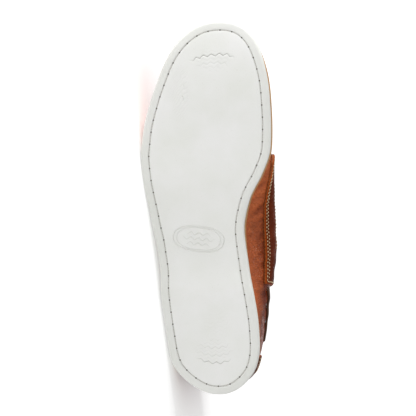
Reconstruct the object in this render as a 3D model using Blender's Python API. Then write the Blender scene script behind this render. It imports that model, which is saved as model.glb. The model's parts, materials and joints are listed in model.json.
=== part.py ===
"""Boat shoe for the right foot, lying on its lateral side.

Every piece is made in the shoe's own frame: X points to the lateral side, Y from the heel end to the
toe tip and Z up from the ground that the sole would stand on. lay_down() then turns the whole shoe
over its lateral side, until the sole's edge and the upper both touch the floor.
"""
import math

import bmesh
import bpy
import numpy as np
from mathutils import Matrix, Vector

# Driving sizes, in metres.
LENGTH = 0.295
BALL_WIDTH = 0.104
HEEL_THICKNESS = 0.0140
FOREFOOT_THICKNESS = 0.0080
TOE_SPRING = 0.0090
ARCH_RISE = 0.0030
SOLE_DRAFT = 0.0010
TREAD_BEVEL = 0.0010
STITCH_INSET = 0.0066
CHANNEL_WIDTH = 0.0020
CHANNEL_DEPTH = 0.0009
MIDSOLE_THICKNESS = 0.0022
MIDSOLE_SETBACK = 0.0004
INSOLE_THICKNESS = 0.0030
LEDGE = 0.0034
LAST_HEIGHT = 0.0570
LAST_TIP_INSET = 0.0042
RIDGE_LEAN = 0.0040
WALL = 0.0019
OVERLAY = 0.0018
SEAM_HEIGHT = 0.0018
TONGUE_THICKNESS = 0.0032
TONGUE_HALF_WIDTH = 0.0245
LACE_WIDTH = 0.0034
LACE_THICKNESS = 0.0020
EYELET_RADIUS = 0.0042
EYELET_HOLE = 0.0024
EYELET_THICKNESS = 0.0010
GAP = 0.0003
CURVED_GAP = 0.0006

# The last's round ends: where each one's centre lies, as a share of the length, and its fullness.
TOE_CENTRE = 0.80
HEEL_CENTRE = 0.15
FULLNESS = 2.25
CROWN = 2.1

# Plan of the ground face. A row is a section: along is a share of the length from the heel end, centre
# and half are shares of the ball width, and centre is positive towards the lateral side.
OUTLINE = (
    # along, centre, half
    (0.000, -0.030, 0.300),
    (0.070, -0.003, 0.350),
    (0.140, 0.012, 0.353),
    (0.205, 0.034, 0.360),
    (0.270, 0.061, 0.356),
    (0.335, 0.084, 0.343),
    (0.400, 0.112, 0.344),
    (0.462, 0.134, 0.360),
    (0.526, 0.129, 0.402),
    (0.590, 0.098, 0.464),
    (0.655, 0.071, 0.499),
    (0.720, 0.057, 0.491),
    (0.783, 0.038, 0.464),
    (0.847, 0.018, 0.430),
    (0.912, 0.006, 0.410),
    (1.000, -0.022, 0.398),
)

# Side view of the sole. rise is a share of the arch rise, spring of the toe spring, and thick goes from
# 0 at the forefoot's thickness to 1 at the heel's.
PROFILE = (
    # along, rise, spring, thick
    (0.000, 0.0, 0.00, 1.00),
    (0.030, 0.0, 0.00, 1.00),
    (0.270, 0.0, 0.00, 1.00),
    (0.340, 0.8, 0.00, 0.78),
    (0.420, 1.0, 0.00, 0.50),
    (0.500, 0.6, 0.00, 0.25),
    (0.570, 0.0, 0.00, 0.08),
    (0.780, 0.0, 0.00, 0.00),
    (0.850, 0.0, 0.12, 0.00),
    (0.920, 0.0, 0.42, 0.00),
    (1.000, 0.0, 1.00, 0.00),
)

# The last, which the upper's outer face follows. centre and half are its widest plan, as shares of the
# ball width. waist is the height of that widest line above the feather edge and ridge the height of
# the crown, as shares of the last height. seam is the angle of the moccasin seam in a section.
LAST = (
    # along, centre, half, waist, ridge, seam
    (0.000, -0.024, 0.290, 0.30, 1.42, 27.0),
    (0.140, 0.002, 0.312, 0.34, 1.38, 25.0),
    (0.270, 0.000, 0.352, 0.42, 1.36, 23.0),
    (0.335, 0.000, 0.372, 0.44, 1.38, 24.0),
    (0.400, 0.008, 0.390, 0.44, 1.42, 29.0),
    (0.460, 0.021, 0.404, 0.40, 1.36, 38.0),
    (0.526, 0.038, 0.424, 0.33, 1.22, 47.0),
    (0.590, 0.054, 0.447, 0.26, 1.08, 53.0),
    (0.655, 0.060, 0.458, 0.22, 0.96, 56.0),
    (0.720, 0.056, 0.450, 0.20, 0.86, 57.0),
    (0.800, 0.038, 0.422, 0.19, 0.77, 57.0),
    (0.900, 0.006, 0.385, 0.18, 0.68, 57.0),
    (1.000, -0.018, 0.366, 0.17, 0.58, 57.0),
)

# The edge of the collar and throat, as a share of the last's half width.
COLLAR = (
    # along, reach
    (0.000, 0.800),
    (0.100, 0.820),
    (0.200, 0.865),
    (0.300, 0.870),
    (0.380, 0.815),
    (0.440, 0.700),
    (0.490, 0.580),
    (0.540, 0.480),
    (0.600, 0.420),
    (0.640, 0.400),
)
THROAT_ROUND = 0.600
THROAT_FRONT = 0.642
THROAT_FULLNESS = 2.4

# Sections of the pieces: where the upper's spokes stand between its two ends, and its rows.
BODY_STATIONS = (
    0.185, 0.225, 0.265, 0.305, 0.345, 0.385, 0.420, 0.455, 0.490, 0.525, 0.560,
    0.590, 0.612, 0.628, 0.637, 0.642, 0.668, 0.700, 0.735, 0.768,
)
END_STEPS = 8
LOWER_ROWS = (-1.0, -0.68, -0.34)
UPPER_ROWS = (0.0, 0.14, 0.28, 0.42, 0.535, 0.585, 0.615, 0.645, 0.70, 0.80, 0.90, 1.0)
SEAM_ROW = 0.615
SEAM_HALF_WIDTH = 0.045
SEAM_START = 0.645
SEAM_FULL = 0.668

# Where the overlays and laces lie. along is a share of the length, and row runs from -1 at the feather
# edge over 0 at the widest line to 1 at the edge of the collar.
STRAP_REAR = 0.275
STRAP_FRONT = 0.650
STRAP_SLANT = 0.014
STRAP_NOSE = 0.026
STRAP_EDGE = (
    # along, row
    (0.250, -0.46),
    (0.330, -0.50),
    (0.460, -0.50),
    (0.560, -0.42),
    (0.620, -0.05),
    (0.660, 0.20),
)
STRAP_TOP = 0.965
COUNTER_FOOT = -0.93
COUNTER_TOP = 0.92
COUNTER_LOW = 0.12
COUNTER_SPOKES = 6
COUNTER_NARROW = 1.0
COUNTER_WIDE = 6.0
SIDE_WINDOW = (0.388, 0.560)
WINDOW_ROWS = (4, 5)
WINDOW_CLEARANCE = 0.0012
STRAP_HEIGHTS = (0.0, 0.11, 0.22, 0.34, 0.450, 0.532, 0.64, 0.75, 0.87, 1.0)
STRAP_STATIONS = (0.0, 0.10, 0.20, 0.29, 0.38, 0.46, 0.54, 0.62, 0.69, 0.755, 0.81, 0.87, 0.93, 1.0)
HEEL_LACE = (0.118, 0.262)
HEEL_LACE_ROWS = (0.72, -0.02)
EYELET_PLACES = (0.592, 0.530)
EYELET_SETBACK = 0.0085
LACE_DIP = (0.30, 0.72)
CROSSING = 0.8
TONGUE_SPAN = (0.440, 0.690)
TONGUE_TIP = 0.38
LACE_ROUNDNESS = 0.75
EYELET_ROUNDING = 0.2
LEAST_SIDEWAYS = 0.7

LATERAL = 1
MEDIAL = -1


def column(table, index):
    """Gives one column of a table as an array."""
    return np.array([row[index] for row in table], dtype=float)


def follow(table, index, along):
    """Reads a column at any place along the shoe, with a smooth curve through the rows.

    Between two rows the value is a cubic whose slope at a row is that of its two neighbours' chord,
    limited to zero where the rows turn back, so that a flat run stays flat.
    """
    x = column(table, 0)
    y = column(table, index)
    chord = np.diff(y) / np.diff(x)
    slope = np.zeros(len(x))
    same_way = chord[:-1] * chord[1:] > 0
    mean = (chord[:-1] * np.diff(x)[1:] + chord[1:] * np.diff(x)[:-1]) / (x[2:] - x[:-2])
    least = 3 * np.minimum(abs(chord[:-1]), abs(chord[1:]))
    slope[1:-1] = np.where(same_way, np.sign(mean) * np.minimum(abs(mean), least), 0)
    slope[0], slope[-1] = chord[0], chord[-1]
    along = np.clip(np.asarray(along, dtype=float), x[0], x[-1])
    i = np.clip(np.searchsorted(x, along) - 1, 0, len(x) - 2)
    step = x[i + 1] - x[i]
    s = (along - x[i]) / step
    return (
        y[i] * (2 * s**3 - 3 * s**2 + 1)
        + slope[i] * step * (s**3 - 2 * s**2 + s)
        + y[i + 1] * (3 * s**2 - 2 * s**3)
        + slope[i + 1] * step * (s**3 - s**2)
    )


def smooth_step(low, high, value):
    """Goes from 0 to 1 between low and high, level at both ends."""
    s = np.clip((np.asarray(value, dtype=float) - low) / (high - low), 0, 1)
    return s * s * (3 - 2 * s)


# The sole's heights, at any distance from the heel end.
def ground(y):
    along = y / LENGTH
    return follow(PROFILE, 1, along) * ARCH_RISE + follow(PROFILE, 2, along) * TOE_SPRING


def sole_top(y):
    thick = follow(PROFILE, 3, y / LENGTH)
    return ground(y) + FOREFOOT_THICKNESS + thick * (HEEL_THICKNESS - FOREFOOT_THICKNESS)


def midsole_bottom(y):
    return sole_top(y) + GAP


def midsole_top(y):
    return midsole_bottom(y) + MIDSOLE_THICKNESS


def feather(y):
    """The height of the upper's lower edge."""
    return midsole_top(y) + GAP


def spokes():
    """Lists the spokes of one side, heel to toe, as (along, reach).

    reach is 1 along the body. At the two ends the spokes fan out round the end's centre, where along
    and reach follow a superellipse, so that the ends are round in plan.
    """
    turn = np.linspace(0, math.pi / 2, END_STEPS + 1)
    power = 2 / FULLNESS
    heel_along = HEEL_CENTRE * (1 - np.cos(turn) ** power)
    heel_reach = np.sin(turn) ** power
    toe_along = TOE_CENTRE + (1 - TOE_CENTRE) * np.sin(turn) ** power
    toe_reach = np.cos(turn) ** power
    body = np.array(BODY_STATIONS)
    along = np.concatenate([heel_along, body, toe_along])
    reach = np.concatenate([heel_reach, np.ones(len(body)), toe_reach])
    return along, np.clip(reach, 0, 1)


ALONG, REACH = spokes()
SIDE = len(ALONG) - 1


def around():
    """Gives (along, signed reach) for the whole loop: heel, lateral side, toe, medial side."""
    along = np.concatenate([ALONG, ALONG[-2:0:-1]])
    reach = np.concatenate([REACH, -REACH[-2:0:-1]])
    return along, reach


def sole_plan(along, reach):
    """Ground face outline: x is centre plus reach times half, both read from the table."""
    x = (follow(OUTLINE, 1, along) + reach * follow(OUTLINE, 2, along)) * BALL_WIDTH
    return np.stack([x, along * LENGTH], axis=-1)


def inset(loop, distance):
    """Moves a closed plan loop inwards along its own normal."""
    run = np.roll(loop, -1, axis=0) - np.roll(loop, 1, axis=0)
    run /= np.linalg.norm(run, axis=1)[:, None]
    outward = np.stack([run[:, 1], -run[:, 0]], axis=1)
    middle = loop.mean(axis=0)
    if np.sum((loop - middle) * outward) < 0:
        outward = -outward
    return loop - outward * distance


def lifted(loop, height):
    """Gives a plan loop its height, which a function of y or a number gives."""
    z = height(loop[:, 1]) if callable(height) else np.full(len(loop), height)
    return np.column_stack([loop, z])


SOLE_LOOP = sole_plan(*around())


def fold_towards(along, reach, scale):
    """Moves a point of the plan towards the spine: scale is 1 on the outline and 0 on the spine.

    In the body only the reach shrinks. In the two round ends the point also draws towards the end's
    centre, so the spokes there meet in one point.
    """
    end = np.where(along > TOE_CENTRE, TOE_CENTRE, np.where(along < HEEL_CENTRE, HEEL_CENTRE, along))
    return end + (along - end) * scale, reach * scale


def last_plan(along, reach, scale):
    """Widest plan of the last, drawn towards its spine by scale, with the crown leaning medially."""
    inner, side = fold_towards(along, reach, scale)
    x = (follow(LAST, 1, inner) + side * follow(LAST, 2, inner)) * BALL_WIDTH
    x = x - RIDGE_LEAN * (1 - scale)
    low = LAST_TIP_INSET / LENGTH
    y = (low + inner * (1 - 2 * low)) * LENGTH
    return x, y, inner


def collar_angle(along):
    """The angle in a section at which the collar or throat cuts the last off, in radians."""
    reach = follow(COLLAR, 1, along)
    ahead = np.clip((along - THROAT_ROUND) / (THROAT_FRONT - THROAT_ROUND), 0, 1)
    reach = reach * np.clip(1 - ahead**THROAT_FULLNESS, 0, 1) ** (1 / THROAT_FULLNESS)
    return np.arccos(np.clip(reach, 0, 1) ** (FULLNESS / 2))


def row_angle(along, row):
    """Turns a row from 0 to 1 into an angle: even up to the seam's angle and even again past it."""
    seam = np.radians(follow(LAST, 5, along))
    top = collar_angle(along)
    below = seam * row / SEAM_ROW
    above = seam + (top - seam) * (row - SEAM_ROW) / (1 - SEAM_ROW)
    return np.where(row <= SEAM_ROW, below, above)


def crown_point(along, reach, angle):
    """A point over the last's widest line.

    A section is a quarter of a superellipse: the plan shrinks with the cosine of the angle and the
    height grows with its sine.
    """
    scale = np.clip(np.cos(angle), 0, 1) ** (2 / FULLNESS)
    x, y, inner = last_plan(along, reach, scale)
    base = feather(along * LENGTH) + follow(LAST, 3, along) * LAST_HEIGHT
    top = feather(inner * LENGTH) + follow(LAST, 4, inner) * LAST_HEIGHT
    z = base + (top - base) * np.sin(angle) ** (2 / CROWN)
    return np.stack([x, y, z], axis=-1)


def foot_point(along, reach, feather_plan, row):
    """A point under the widest line: a parabola out from the feather edge that ends upright."""
    x, y, _ = last_plan(along, reach, np.ones_like(along))
    share = row + 1
    out = 2 * share - share**2
    px = feather_plan[..., 0] + (x - feather_plan[..., 0]) * out
    py = feather_plan[..., 1] + (y - feather_plan[..., 1]) * out
    low = feather(feather_plan[..., 1])
    widest = feather(along * LENGTH) + follow(LAST, 3, along) * LAST_HEIGHT
    z = low + (widest - low) * share
    return np.stack([px, py, z], axis=-1)


def signed_place(place):
    """Turns a place round the shoe into (along, reach).

    place runs from 0 at the heel's centre to 1 at the toe tip, positive on the lateral side, and
    counts the spokes of one side, so that it is even where the spokes are.
    """
    count = abs(np.asarray(place, dtype=float)) * SIDE
    quarter = math.pi / 2 / END_STEPS
    heel_turn = np.clip(count, 0, END_STEPS) * quarter
    toe_turn = np.clip(count - SIDE + END_STEPS, 0, END_STEPS) * quarter
    power = 2 / FULLNESS
    body = np.interp(count, np.arange(SIDE + 1), ALONG)
    heel = HEEL_CENTRE * (1 - np.cos(heel_turn) ** power)
    toe = TOE_CENTRE + (1 - TOE_CENTRE) * np.sin(toe_turn) ** power
    along = np.where(count < END_STEPS, heel, np.where(count > SIDE - END_STEPS, toe, body))
    reach = np.sin(heel_turn) ** power * np.clip(np.cos(toe_turn), 0, 1) ** power
    return along, reach * np.where(np.asarray(place) < 0, -1, 1)


def place_at(along, side):
    """The place round the shoe at a share of the length, on one side of it."""
    return side * np.interp(along, ALONG, np.arange(SIDE + 1)) / SIDE


FEATHER_LOOP = inset(SOLE_LOOP, LEDGE)


def feather_at(place):
    """Reads the feather edge's plan at any place round the shoe, smooth through the loop's points."""
    count = np.mod(np.asarray(place, dtype=float) * SIDE, 2 * SIDE)
    index = np.floor(count).astype(int)
    s = (count - index)[..., None]
    before, start, stop, after = (FEATHER_LOOP[(index + k) % (2 * SIDE)] for k in (-1, 0, 1, 2))
    rise = (stop - before) / 2
    fall = (after - start) / 2
    return (
        start * (2 * s**3 - 3 * s**2 + 1)
        + rise * (s**3 - 2 * s**2 + s)
        + stop * (3 * s**2 - 2 * s**3)
        + fall * (s**3 - s**2)
    )


def upper_point(place, row):
    """The upper's outer face at a place round the shoe and a row from the feather edge to the collar."""
    place, row = np.broadcast_arrays(np.asarray(place, dtype=float), np.asarray(row, dtype=float))
    along, reach = signed_place(place)
    low = foot_point(along, reach, feather_at(place), np.minimum(row, 0))
    high = crown_point(along, reach, row_angle(along, np.maximum(row, 0)))
    return np.where((row < 0)[..., None], low, high)


def outward_normal(place, row, step=0.004):
    """The upper's outward normal, from differences of the surface in both directions."""
    along_run = upper_point(place + step, row) - upper_point(place - step, row)
    up_run = upper_point(place, np.minimum(row + step, 1)) - upper_point(place, row - step)
    normal = np.cross(along_run, up_run)
    return normal / np.linalg.norm(normal, axis=-1)[..., None]


def new_object(name, vertices, faces, material, smooth_angle=40):
    """Makes a mesh object whose faces all point outwards."""
    mesh = bpy.data.meshes.new(name)
    mesh.from_pydata([tuple(v) for v in vertices], [], [tuple(f) for f in faces])
    work = bmesh.new()
    work.from_mesh(mesh)
    bmesh.ops.recalc_face_normals(work, faces=work.faces)
    bmesh.ops.triangulate(work, faces=work.faces)
    work.to_mesh(mesh)
    work.free()
    mesh.materials.append(material)
    mesh.shade_smooth()
    mesh.set_sharp_from_angle(angle=math.radians(smooth_angle))
    item = bpy.data.objects.new(name, mesh)
    bpy.context.scene.collection.objects.link(item)
    return item


def material(name, colour, roughness, metallic=0.0):
    """Makes a Principled material."""
    made = bpy.data.materials.new(name)
    made.use_nodes = True
    shader = made.node_tree.nodes["Principled BSDF"]
    shader.inputs["Base Color"].default_value = (*colour, 1)
    shader.inputs["Roughness"].default_value = roughness
    shader.inputs["Metallic"].default_value = metallic
    return made


def bridge(first, second):
    """Quads between two closed loops of vertex numbers."""
    n = len(first)
    return [(first[i], first[(i + 1) % n], second[(i + 1) % n], second[i]) for i in range(n)]


def ladder(loop):
    """Fills a loop with strips across the shoe, from its lateral to its medial side."""
    half = len(loop) // 2
    faces = [(loop[0], loop[1], loop[-1])]
    for k in range(1, half - 1):
        faces.append((loop[k], loop[k + 1], loop[-k - 1], loop[-k]))
    faces.append((loop[half - 1], loop[half], loop[half + 1]))
    return faces


def stack_of_loops(name, loops, finish):
    """A solid from closed loops, one above the other, with its two ends filled across."""
    n = len(loops[0])
    numbers = [list(range(i * n, (i + 1) * n)) for i in range(len(loops))]
    faces = ladder(numbers[0]) + ladder(numbers[-1])
    for low, high in zip(numbers[:-1], numbers[1:]):
        faces += bridge(low, high)
    return new_object(name, np.vstack(loops), faces, finish)


def thick_shell(name, outer, inner, faces, finish):
    """A solid between two sheets with the same faces, walled off along every open edge."""
    total = len(outer)
    shell = [list(face) for face in faces] + [[v + total for v in face[::-1]] for face in faces]
    edges = {}
    for face in faces:
        for a, b in zip(face, face[1:] + face[:1]):
            edges[(a, b)] = True
    for a, b in edges:
        if (b, a) not in edges:
            shell.append([b, a, a + total, b + total])
    return new_object(name, np.vstack([outer, inner]), shell, finish)


def shell_patch(name, under, over, finish, window=None):
    """A solid between two grids of points, less the cells of a window (rows from, to, columns from, to)."""
    rows, columns = under.shape[:2]
    at = np.arange(rows * columns).reshape(rows, columns)
    faces = []
    for i in range(rows - 1):
        for j in range(columns - 1):
            if window and window[0] <= i < window[1] and window[2] <= j < window[3]:
                continue
            faces.append([at[i, j], at[i, j + 1], at[i + 1, j + 1], at[i + 1, j]])
    used = sorted({v for face in faces for v in face})
    renumber = {old: new for new, old in enumerate(used)}
    faces = [[renumber[v] for v in face] for face in faces]
    return thick_shell(name, over.reshape(-1, 3)[used], under.reshape(-1, 3)[used], faces, finish)


def build_outsole(finish):
    """White rubber sole: a tread face with a sunk stitch channel, bevelled edges and drafted sides."""
    def channel(y):
        return ground(y) + CHANNEL_DEPTH

    def wall_foot(y):
        return ground(y) + TREAD_BEVEL

    half_channel = CHANNEL_WIDTH / 2
    loops = [
        lifted(inset(SOLE_LOOP, STITCH_INSET + half_channel), ground),
        lifted(inset(SOLE_LOOP, STITCH_INSET + half_channel), channel),
        lifted(inset(SOLE_LOOP, STITCH_INSET - half_channel), channel),
        lifted(inset(SOLE_LOOP, STITCH_INSET - half_channel), ground),
        lifted(inset(SOLE_LOOP, TREAD_BEVEL), ground),
        lifted(SOLE_LOOP, wall_foot),
        lifted(inset(SOLE_LOOP, SOLE_DRAFT), sole_top),
    ]
    return stack_of_loops("outsole", loops, finish)


def build_midsole(finish):
    """Thin leather layer whose raw edge shows above the rubber."""
    plan = inset(SOLE_LOOP, SOLE_DRAFT + MIDSOLE_SETBACK)
    return stack_of_loops("midsole", [lifted(plan, midsole_bottom), lifted(plan, midsole_top)], finish)


def build_insole(finish):
    """The board that the foot stands on, inside the upper."""
    plan = inset(FEATHER_LOOP, WALL + 4 * GAP)
    def top(y):
        return feather(y) + INSOLE_THICKNESS
    return stack_of_loops("insole", [lifted(plan, feather), lifted(plan, top)], finish)


def upper_grid():
    """Points of the upper's outer face: a row of the loop for each row height."""
    places = np.concatenate([np.arange(SIDE + 1), np.arange(-SIDE + 1, 0)]) / SIDE
    rows = np.array(LOWER_ROWS + UPPER_ROWS)
    grid = upper_point(places[None, :], rows[:, None])
    return places, rows, grid


def vertex_normals(points, faces):
    """Adds up each face's normal on its corners and makes the sums one unit long."""
    normals = np.zeros_like(points)
    for face in faces:
        corners = points[list(face)]
        centre = corners.mean(axis=0)
        run = np.roll(corners, -1, axis=0) - centre
        normal = np.cross(corners - centre, run).sum(axis=0)
        normals[list(face)] += normal
    return normals / np.linalg.norm(normals, axis=1)[:, None]


def build_upper(finish):
    """One hollow leather wall, open at the collar, at the throat and underneath.

    In front of the throat the two sides of a section meet on the crown, so they share its vertex, and
    the toe's spokes all share the vertex over the toe's centre.
    """
    places, rows, grid = upper_grid()
    along, _ = signed_place(places)
    count = len(places)
    numbers = np.arange(len(rows) * count).reshape(len(rows), count)
    crown = numbers[-1]
    pole = crown[SIDE]
    for k in range(1, SIDE + 1):
        if along[k] >= TOE_CENTRE:
            crown[k] = crown[-k] = pole
        elif along[k] >= THROAT_FRONT:
            crown[-k] = crown[k]
    faces = []
    for i in range(len(rows) - 1):
        for k in range(count):
            after = (k + 1) % count
            face = [numbers[i, k], numbers[i, after], numbers[i + 1, after], numbers[i + 1, k]]
            face = list(dict.fromkeys(face))
            if len(face) > 2:
                faces.append(face)
    used = sorted({v for face in faces for v in face})
    renumber = {old: new for new, old in enumerate(used)}
    faces = [[renumber[v] for v in face] for face in faces]
    outer = grid.reshape(-1, 3)[used]
    normals = vertex_normals(outer, faces)
    middle = outer.mean(axis=0)
    if np.sum(normals * (outer - middle)) < 0:
        normals = -normals
    outer = outer + normals * seam_lift(places, rows).reshape(-1)[used][:, None]
    normals[:count, 2] = 0
    normals[:count] /= np.linalg.norm(normals[:count], axis=1)[:, None]
    inner = outer - normals * WALL
    inner[:count, 2] = feather(inner[:count, 1])
    return thick_shell("upper", outer, inner, faces, finish)


def seam_lift(places, rows):
    """Height of the raised moccasin seam over the wall: a rounded rib along the seam's row."""
    along, _ = signed_place(places)
    strength = smooth_step(SEAM_START, SEAM_FULL, along)
    rib = np.clip(1 - abs(rows - SEAM_ROW) / SEAM_HALF_WIDTH, 0, 1)
    return SEAM_HEIGHT * rib[:, None] * strength[None, :]


def overlay_patch(name, places, rows, finish, window=None):
    """An overlay of the upper: a leather patch that lies on the upper's own outer face."""
    base = upper_point(places, rows)
    normal = outward_normal(places, rows)
    under = base + normal * CURVED_GAP
    over = base + normal * (CURVED_GAP + OVERLAY)
    return shell_patch(name, under, over, finish, window)


def strap_row(along, height):
    """The upper's row at a share of the strap's own height, from its lower to its upper edge."""
    low = follow(STRAP_EDGE, 1, along)
    return low + (STRAP_TOP - low) * height


def build_quarter_strap(side, name, finish):
    """The strap along one side, from the throat back towards the heel, with the side lace's window.

    Its rear end is cut on a slant and its front end is curved. The stations beside the window are
    moved to its two ends, which stand square to the strap.
    """
    heights = np.array(STRAP_HEIGHTS)[:, None]
    stations = np.array(STRAP_STATIONS)[None, :]
    rear = STRAP_REAR + STRAP_SLANT * (1 - heights)
    front = STRAP_FRONT - STRAP_NOSE * heights**2
    along = rear + (front - rear) * stations
    floor = WINDOW_ROWS[0]
    low, high = (int(np.argmin(abs(along[floor] - end))) for end in SIDE_WINDOW)
    along[:, low], along[:, high] = SIDE_WINDOW
    rows = strap_row(along, heights)
    return overlay_patch(name, place_at(along, side), rows, finish, (*WINDOW_ROWS, low, high))


def build_heel_counter(finish):
    """The overlay round the heel: wide at the feather edge and narrow where it climbs to the collar."""
    places = np.arange(-COUNTER_SPOKES, COUNTER_SPOKES + 0.5, 0.5) / SIDE
    fall = smooth_step(COUNTER_NARROW / SIDE, COUNTER_WIDE / SIDE, abs(places))
    top = COUNTER_TOP + (COUNTER_LOW - COUNTER_TOP) * fall
    height = np.linspace(0, 1, 11)[:, None]
    rows = COUNTER_FOOT + (top - COUNTER_FOOT)[None, :] * height
    return overlay_patch("heel_counter", np.broadcast_to(places, rows.shape), rows, finish)


def throat_point(along, x_share, lift):
    """A point over or under the crown beside the throat, lifted along the last's normal.

    x_share is the distance from the crown line as a share of the last's half width.
    """
    def bare(a, s):
        angle = np.arccos(np.clip(abs(s), 0, 1) ** (FULLNESS / 2))
        return crown_point(a, np.where(s < 0, -1.0, 1.0), angle)

    step = 0.004
    along, x_share = np.broadcast_arrays(np.asarray(along, dtype=float), np.asarray(x_share, dtype=float))
    run = bare(along + step, x_share) - bare(along - step, x_share)
    side = bare(along, x_share + step) - bare(along, x_share - step)
    normal = np.cross(side, run)
    normal /= np.linalg.norm(normal, axis=-1)[..., None]
    return bare(along, x_share) + normal * np.asarray(lift)[..., None]


def build_tongue(finish):
    """The tongue: a strip under the throat whose round top stands above the collar."""
    along = np.linspace(TONGUE_SPAN[1], TONGUE_SPAN[0], 15)
    across = np.linspace(-1, 1, 11)
    from_top = (along - TONGUE_SPAN[0]) * LENGTH
    rounding = np.clip(from_top / TONGUE_HALF_WIDTH, 0, 1)
    narrow = TONGUE_TIP + (1 - TONGUE_TIP) * np.sqrt(1 - (1 - rounding) ** 2)
    half = follow(LAST, 2, along) * BALL_WIDTH
    share = across[None, :] * (TONGUE_HALF_WIDTH * narrow / half)[:, None]
    places = np.broadcast_to(along[:, None], share.shape)
    drop = WALL + CURVED_GAP
    under = throat_point(places, share, np.full(share.shape, -drop - TONGUE_THICKNESS))
    over = throat_point(places, share, np.full(share.shape, -drop))
    return shell_patch("tongue", under, over, finish)


def swept(path, normals, width, thickness, sides=8):
    """Rings of a flat cord with rounded edges, along a path that lies on a surface."""
    run = np.gradient(path, axis=0)
    run /= np.linalg.norm(run, axis=1)[:, None]
    across = np.cross(run, normals)
    across /= np.linalg.norm(across, axis=1)[:, None]
    up = np.cross(across, run)
    turn = (np.arange(sides) + 0.5) * 2 * math.pi / sides
    wide = np.sign(np.cos(turn)) * abs(np.cos(turn)) ** LACE_ROUNDNESS * width / 2
    high = np.sign(np.sin(turn)) * abs(np.sin(turn)) ** LACE_ROUNDNESS * thickness / 2
    return path[:, None, :] + across[:, None, :] * wide[None, :, None] + up[:, None, :] * high[None, :, None]


def tube(name, rings, finish):
    """A closed solid through rings of points, with flat ends."""
    steps, sides = rings.shape[:2]
    faces = []
    for i in range(steps - 1):
        low = list(range(i * sides, (i + 1) * sides))
        faces += bridge(low, [v + sides for v in low])
    faces.append(tuple(range(sides)))
    faces.append(tuple(range((steps - 1) * sides, steps * sides)))
    return new_object(name, rings.reshape(-1, 3), faces, finish)


def build_surface_lace(name, side, along, rows, finish):
    """A stretch of lace that lies on the upper's wall, through the given stations and rows."""
    places = place_at(along, side)
    normal = outward_normal(places, rows)
    path = upper_point(places, rows) + normal * (GAP + LACE_THICKNESS / 2)
    return tube(name, swept(path, normal, LACE_WIDTH, LACE_THICKNESS), finish)


def build_side_lace(name, side, finish):
    """The lace in the strap's window, a little clear of the window's ends."""
    margin = WINDOW_CLEARANCE / LENGTH
    along = np.linspace(SIDE_WINDOW[0] + margin, SIDE_WINDOW[1] - margin, 15)
    middle = (STRAP_HEIGHTS[WINDOW_ROWS[0]] + STRAP_HEIGHTS[WINDOW_ROWS[1]]) / 2
    return build_surface_lace(name, side, along, strap_row(along, middle), finish)


def build_heel_lace(name, side, finish):
    """The lace between the strap's rear end and the heel counter."""
    steps = 13
    along = np.linspace(*HEEL_LACE, steps)
    return build_surface_lace(name, side, along, np.linspace(*HEEL_LACE_ROWS, steps), finish)


def eyelet_share(along):
    """How far from the crown an eyelet lies, as a share of the last's half width."""
    edge = float(follow(COLLAR, 1, along))
    return edge + EYELET_SETBACK / (float(follow(LAST, 2, along)) * BALL_WIDTH)


def build_eyelet(name, along, side, finish):
    """A washer with a rounded top, on the quarter strap."""
    share = side * eyelet_share(along)
    base = throat_point(along, share, CURVED_GAP + OVERLAY + CURVED_GAP)
    tip = throat_point(along, share, CURVED_GAP + OVERLAY + 2 * CURVED_GAP)
    turn = Vector(tip - base).to_track_quat("Z", "Y").to_matrix()
    steps = 20
    angle = np.arange(steps) * 2 * math.pi / steps
    middle = (EYELET_RADIUS + EYELET_HOLE) / 2
    section = (
        (EYELET_HOLE, 0.0),
        (EYELET_RADIUS, 0.0),
        (EYELET_RADIUS - EYELET_ROUNDING * EYELET_THICKNESS, 0.6 * EYELET_THICKNESS),
        (middle, EYELET_THICKNESS),
        (EYELET_HOLE + EYELET_ROUNDING * EYELET_THICKNESS, 0.6 * EYELET_THICKNESS),
    )
    loops = [np.column_stack([r * np.cos(angle), r * np.sin(angle), np.full(steps, z)]) for r, z in section]
    faces = []
    for i in range(len(section)):
        low = [i * steps + k for k in range(steps)]
        high = [((i + 1) % len(section)) * steps + k for k in range(steps)]
        faces += bridge(low, high)
    points = np.vstack(loops) @ np.array(turn).T + base
    return new_object(name, points, faces, finish)


def union(target, other):
    """Joins another closed mesh to the target and removes it."""
    cut = target.modifiers.new("join", "BOOLEAN")
    cut.operation = "UNION"
    cut.object = other
    other.hide_render = True
    other.display_type = "WIRE"


def build_front_lace(finish):
    """The bar over the lower eyelets and the two strands that cross up to the top eyelets."""
    lower, upper = EYELET_PLACES
    on_eyelet = 2 * CURVED_GAP + OVERLAY + EYELET_THICKNESS + GAP + LACE_THICKNESS / 2
    on_tongue = LACE_THICKNESS / 2 + 2 * GAP - WALL - CURVED_GAP
    share = np.linspace(-1, 1, 21)
    reaches = [eyelet_share(upper), eyelet_share(lower)]

    def strand(name, start, stop, side, over=0.0):
        along = (start + stop) / 2 + side * (stop - start) / 2 * share
        reach = share * np.interp(along, [upper, lower], reaches)
        climb = smooth_step(LACE_DIP[0], LACE_DIP[1], abs(share))
        rise = on_tongue + over + (on_eyelet - on_tongue - over) * climb
        path = throat_point(along, reach, rise)
        normal = throat_point(along, reach, rise + GAP) - path
        return tube(name, swept(path, normal, LACE_WIDTH, LACE_THICKNESS), finish)

    bar = strand("lace_front", lower, lower, 1)
    union(bar, strand("lace_cross_a", lower, upper, 1))
    union(bar, strand("lace_cross_b", lower, upper, -1, LACE_THICKNESS * CROSSING))
    return bar


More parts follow.
